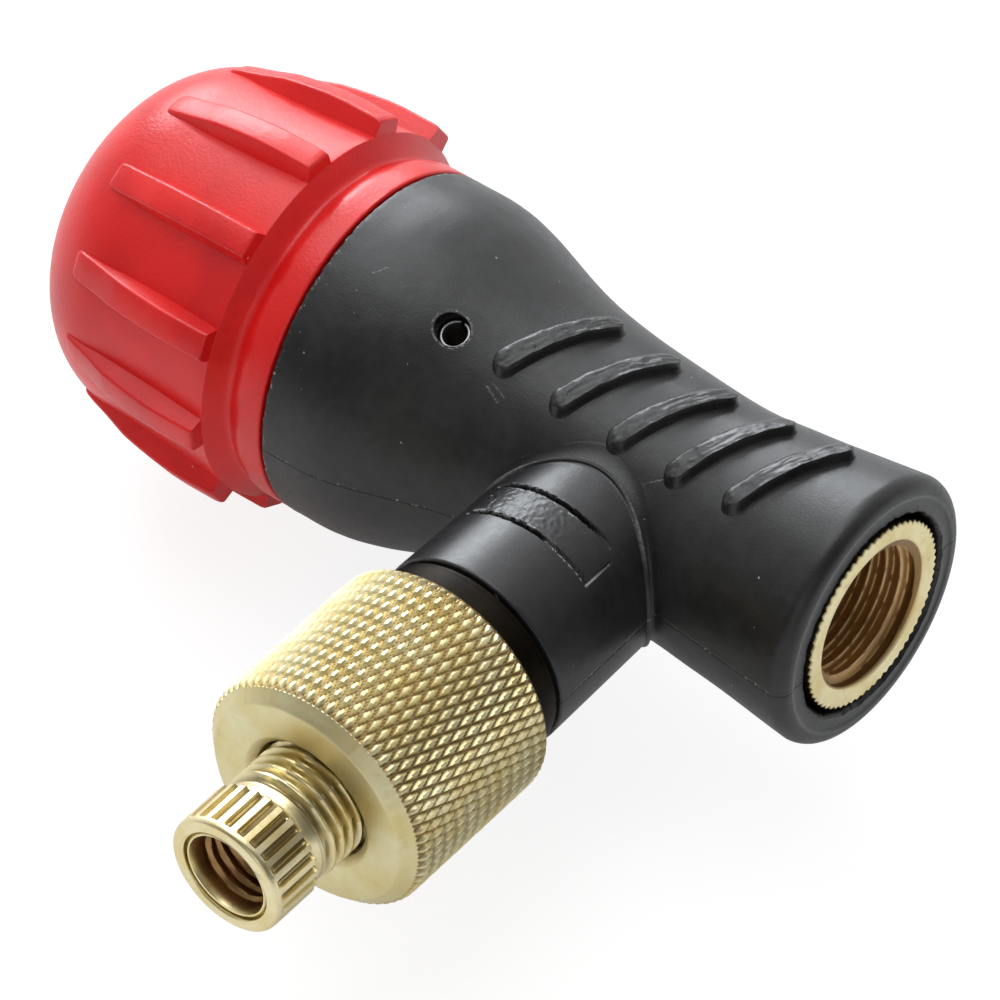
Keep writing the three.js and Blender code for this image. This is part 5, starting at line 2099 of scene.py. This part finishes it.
@dataclass(frozen=True)
class Studio:
    """A plain pale floor, soft lamps, a white surround, and the camera where the photograph was taken.

    The camera's place is in millimetres, and the lamps and the floor are in metres.
    """

    camera_place: Place = (222.056, -252.239, 352.657)
    camera_right: Place = (0.77850, 0.62743, -0.01637)
    camera_up: Place = (-0.43614, 0.55954, 0.70477)
    camera_back: Place = (0.45135, -0.54152, 0.70925)
    lens: float = 291.0
    sensor: float = 36.0
    clip: Point = (0.01, 20)
    target: Place = (0, 0, 0.012)
    bright_side: Place = (-0.60, 0.66, 0.45)
    bright_from: Point = (-0.2, 0.9)
    gloss_low: float = 0.16
    gloss_high: float = 0.86
    soft: float = 0.42
    white: Colour = (1.0, 1.0, 1.0)
    floor_size: float = 6
    floor_place: Place = (0, 0, -0.0003)
    floor_paper: Colour = (0.82, 0.82, 0.82)
    floor_shown: Colour = (0.24, 0.24, 0.24)
    floor_glow: float = 0.86
    floor_gloss: float = 0.3
    lamps: tuple[Softbox, ...] = (
        Softbox("overhead", (-0.12, 0.08, 0.55), 0.45, 1.3, (0.96, 0.98, 1.0)),
        Softbox("window", (-0.46, 0.36, 0.32), 0.28, 2.7, (0.90, 0.95, 1.0)),
        Softbox("skylight", (-0.30, 0.53, 0.27), 0.11, 0.5, (0.90, 0.95, 1.0)),
        Softbox("front_fill", (0.30, -0.45, 0.25), 0.40, 0.30, (1.0, 0.97, 0.93)),
    )

    def set_camera(self) -> None:
        """Puts the camera up."""
        data = bpy.data.cameras.new("view")
        data.lens = self.lens
        data.sensor_width = self.sensor
        data.sensor_fit = "AUTO"
        data.clip_start, data.clip_end = self.clip
        camera = bpy.data.objects.new("view", data)
        bpy.context.scene.collection.objects.link(camera)
        columns = (self.camera_right, self.camera_up, self.camera_back)
        turn = Matrix(columns).transposed().to_4x4()
        camera.matrix_world = Matrix.Translation(Vector(self.camera_place) * MM) @ turn
        bpy.context.scene.camera = camera

    def lay_floor(self) -> None:
        """Lays the floor, which keeps the part's shadow and is otherwise white to the camera."""
        Bench.only()
        bpy.ops.mesh.primitive_plane_add(size=self.floor_size, location=self.floor_place)
        floor = Bench.start("floor")
        material = bpy.data.materials.new("floor_paper")
        graph = Graph(material, "ShaderNodeOutputMaterial")
        paper = graph.node("ShaderNodeBsdfDiffuse", None, {"Color": self.floor_paper})
        shown = graph.node("ShaderNodeBsdfDiffuse", None, {"Color": self.floor_shown})
        glow = graph.node("ShaderNodeEmission", None, {"Color": self.white, "Strength": self.floor_glow})
        bright = graph.node("ShaderNodeAddShader", None, {0: shown, 1: glow})
        camera = graph.node("ShaderNodeLightPath", output="Is Camera Ray")
        seen = camera.most(camera.beside("Is Transmission Ray"))
        seen = seen.most(camera.beside("Is Glossy Ray") * self.floor_gloss)
        graph.surface(graph.node("ShaderNodeMixShader", None, {0: seen, 1: paper, 2: bright}))
        floor.data.materials.append(material)

    def set_world(self) -> None:
        """A white surround for the camera, a brighter side for gloss, and a level of light for the rest."""
        world = bpy.context.scene.world or bpy.data.worlds.new("surround")
        bpy.context.scene.world = world
        graph = Graph(world, "ShaderNodeOutputWorld")
        camera = graph.node("ShaderNodeLightPath", output="Is Camera Ray")
        gloss = camera.beside("Is Glossy Ray")
        seen = camera.most(camera.beside("Is Transmission Ray"))
        towards = graph.node("ShaderNodeTexCoord", output="Generated")
        facing = graph.vector("DOT_PRODUCT", towards, self.bright_side)
        lit = self.gloss_low + facing.step(*self.bright_from) * self.gloss_high
        strength = seen + gloss * lit + (1 - seen.most(gloss)) * self.soft
        sky = {"Color": self.white, "Strength": strength}
        graph.surface(graph.node("ShaderNodeBackground", None, sky))

    def build(self) -> None:
        """Sets the whole studio up."""
        self.set_camera()
        self.lay_floor()
        self.set_world()
        for lamp in self.lamps:
            lamp.hang(Vector(self.target))
        bpy.context.scene.view_settings.view_transform = "Standard"


def main() -> None:
    """Builds the pieces in order, then the studio around them."""
    logging.basicConfig(level=logging.INFO, format="%(name)s: %(message)s")
    for finish, nodes in CAD_FINISHES:
        finish.put_on(*(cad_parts[node] for node in nodes))
    housing = Housing()
    housing.build()
    RollPin().build(housing)
    for piece in (Knob(), Insert(), Nipple(), ChuckNut(), Adapter()):
        piece.build()
    Studio().build()


if __name__ == "__main__":
    main()
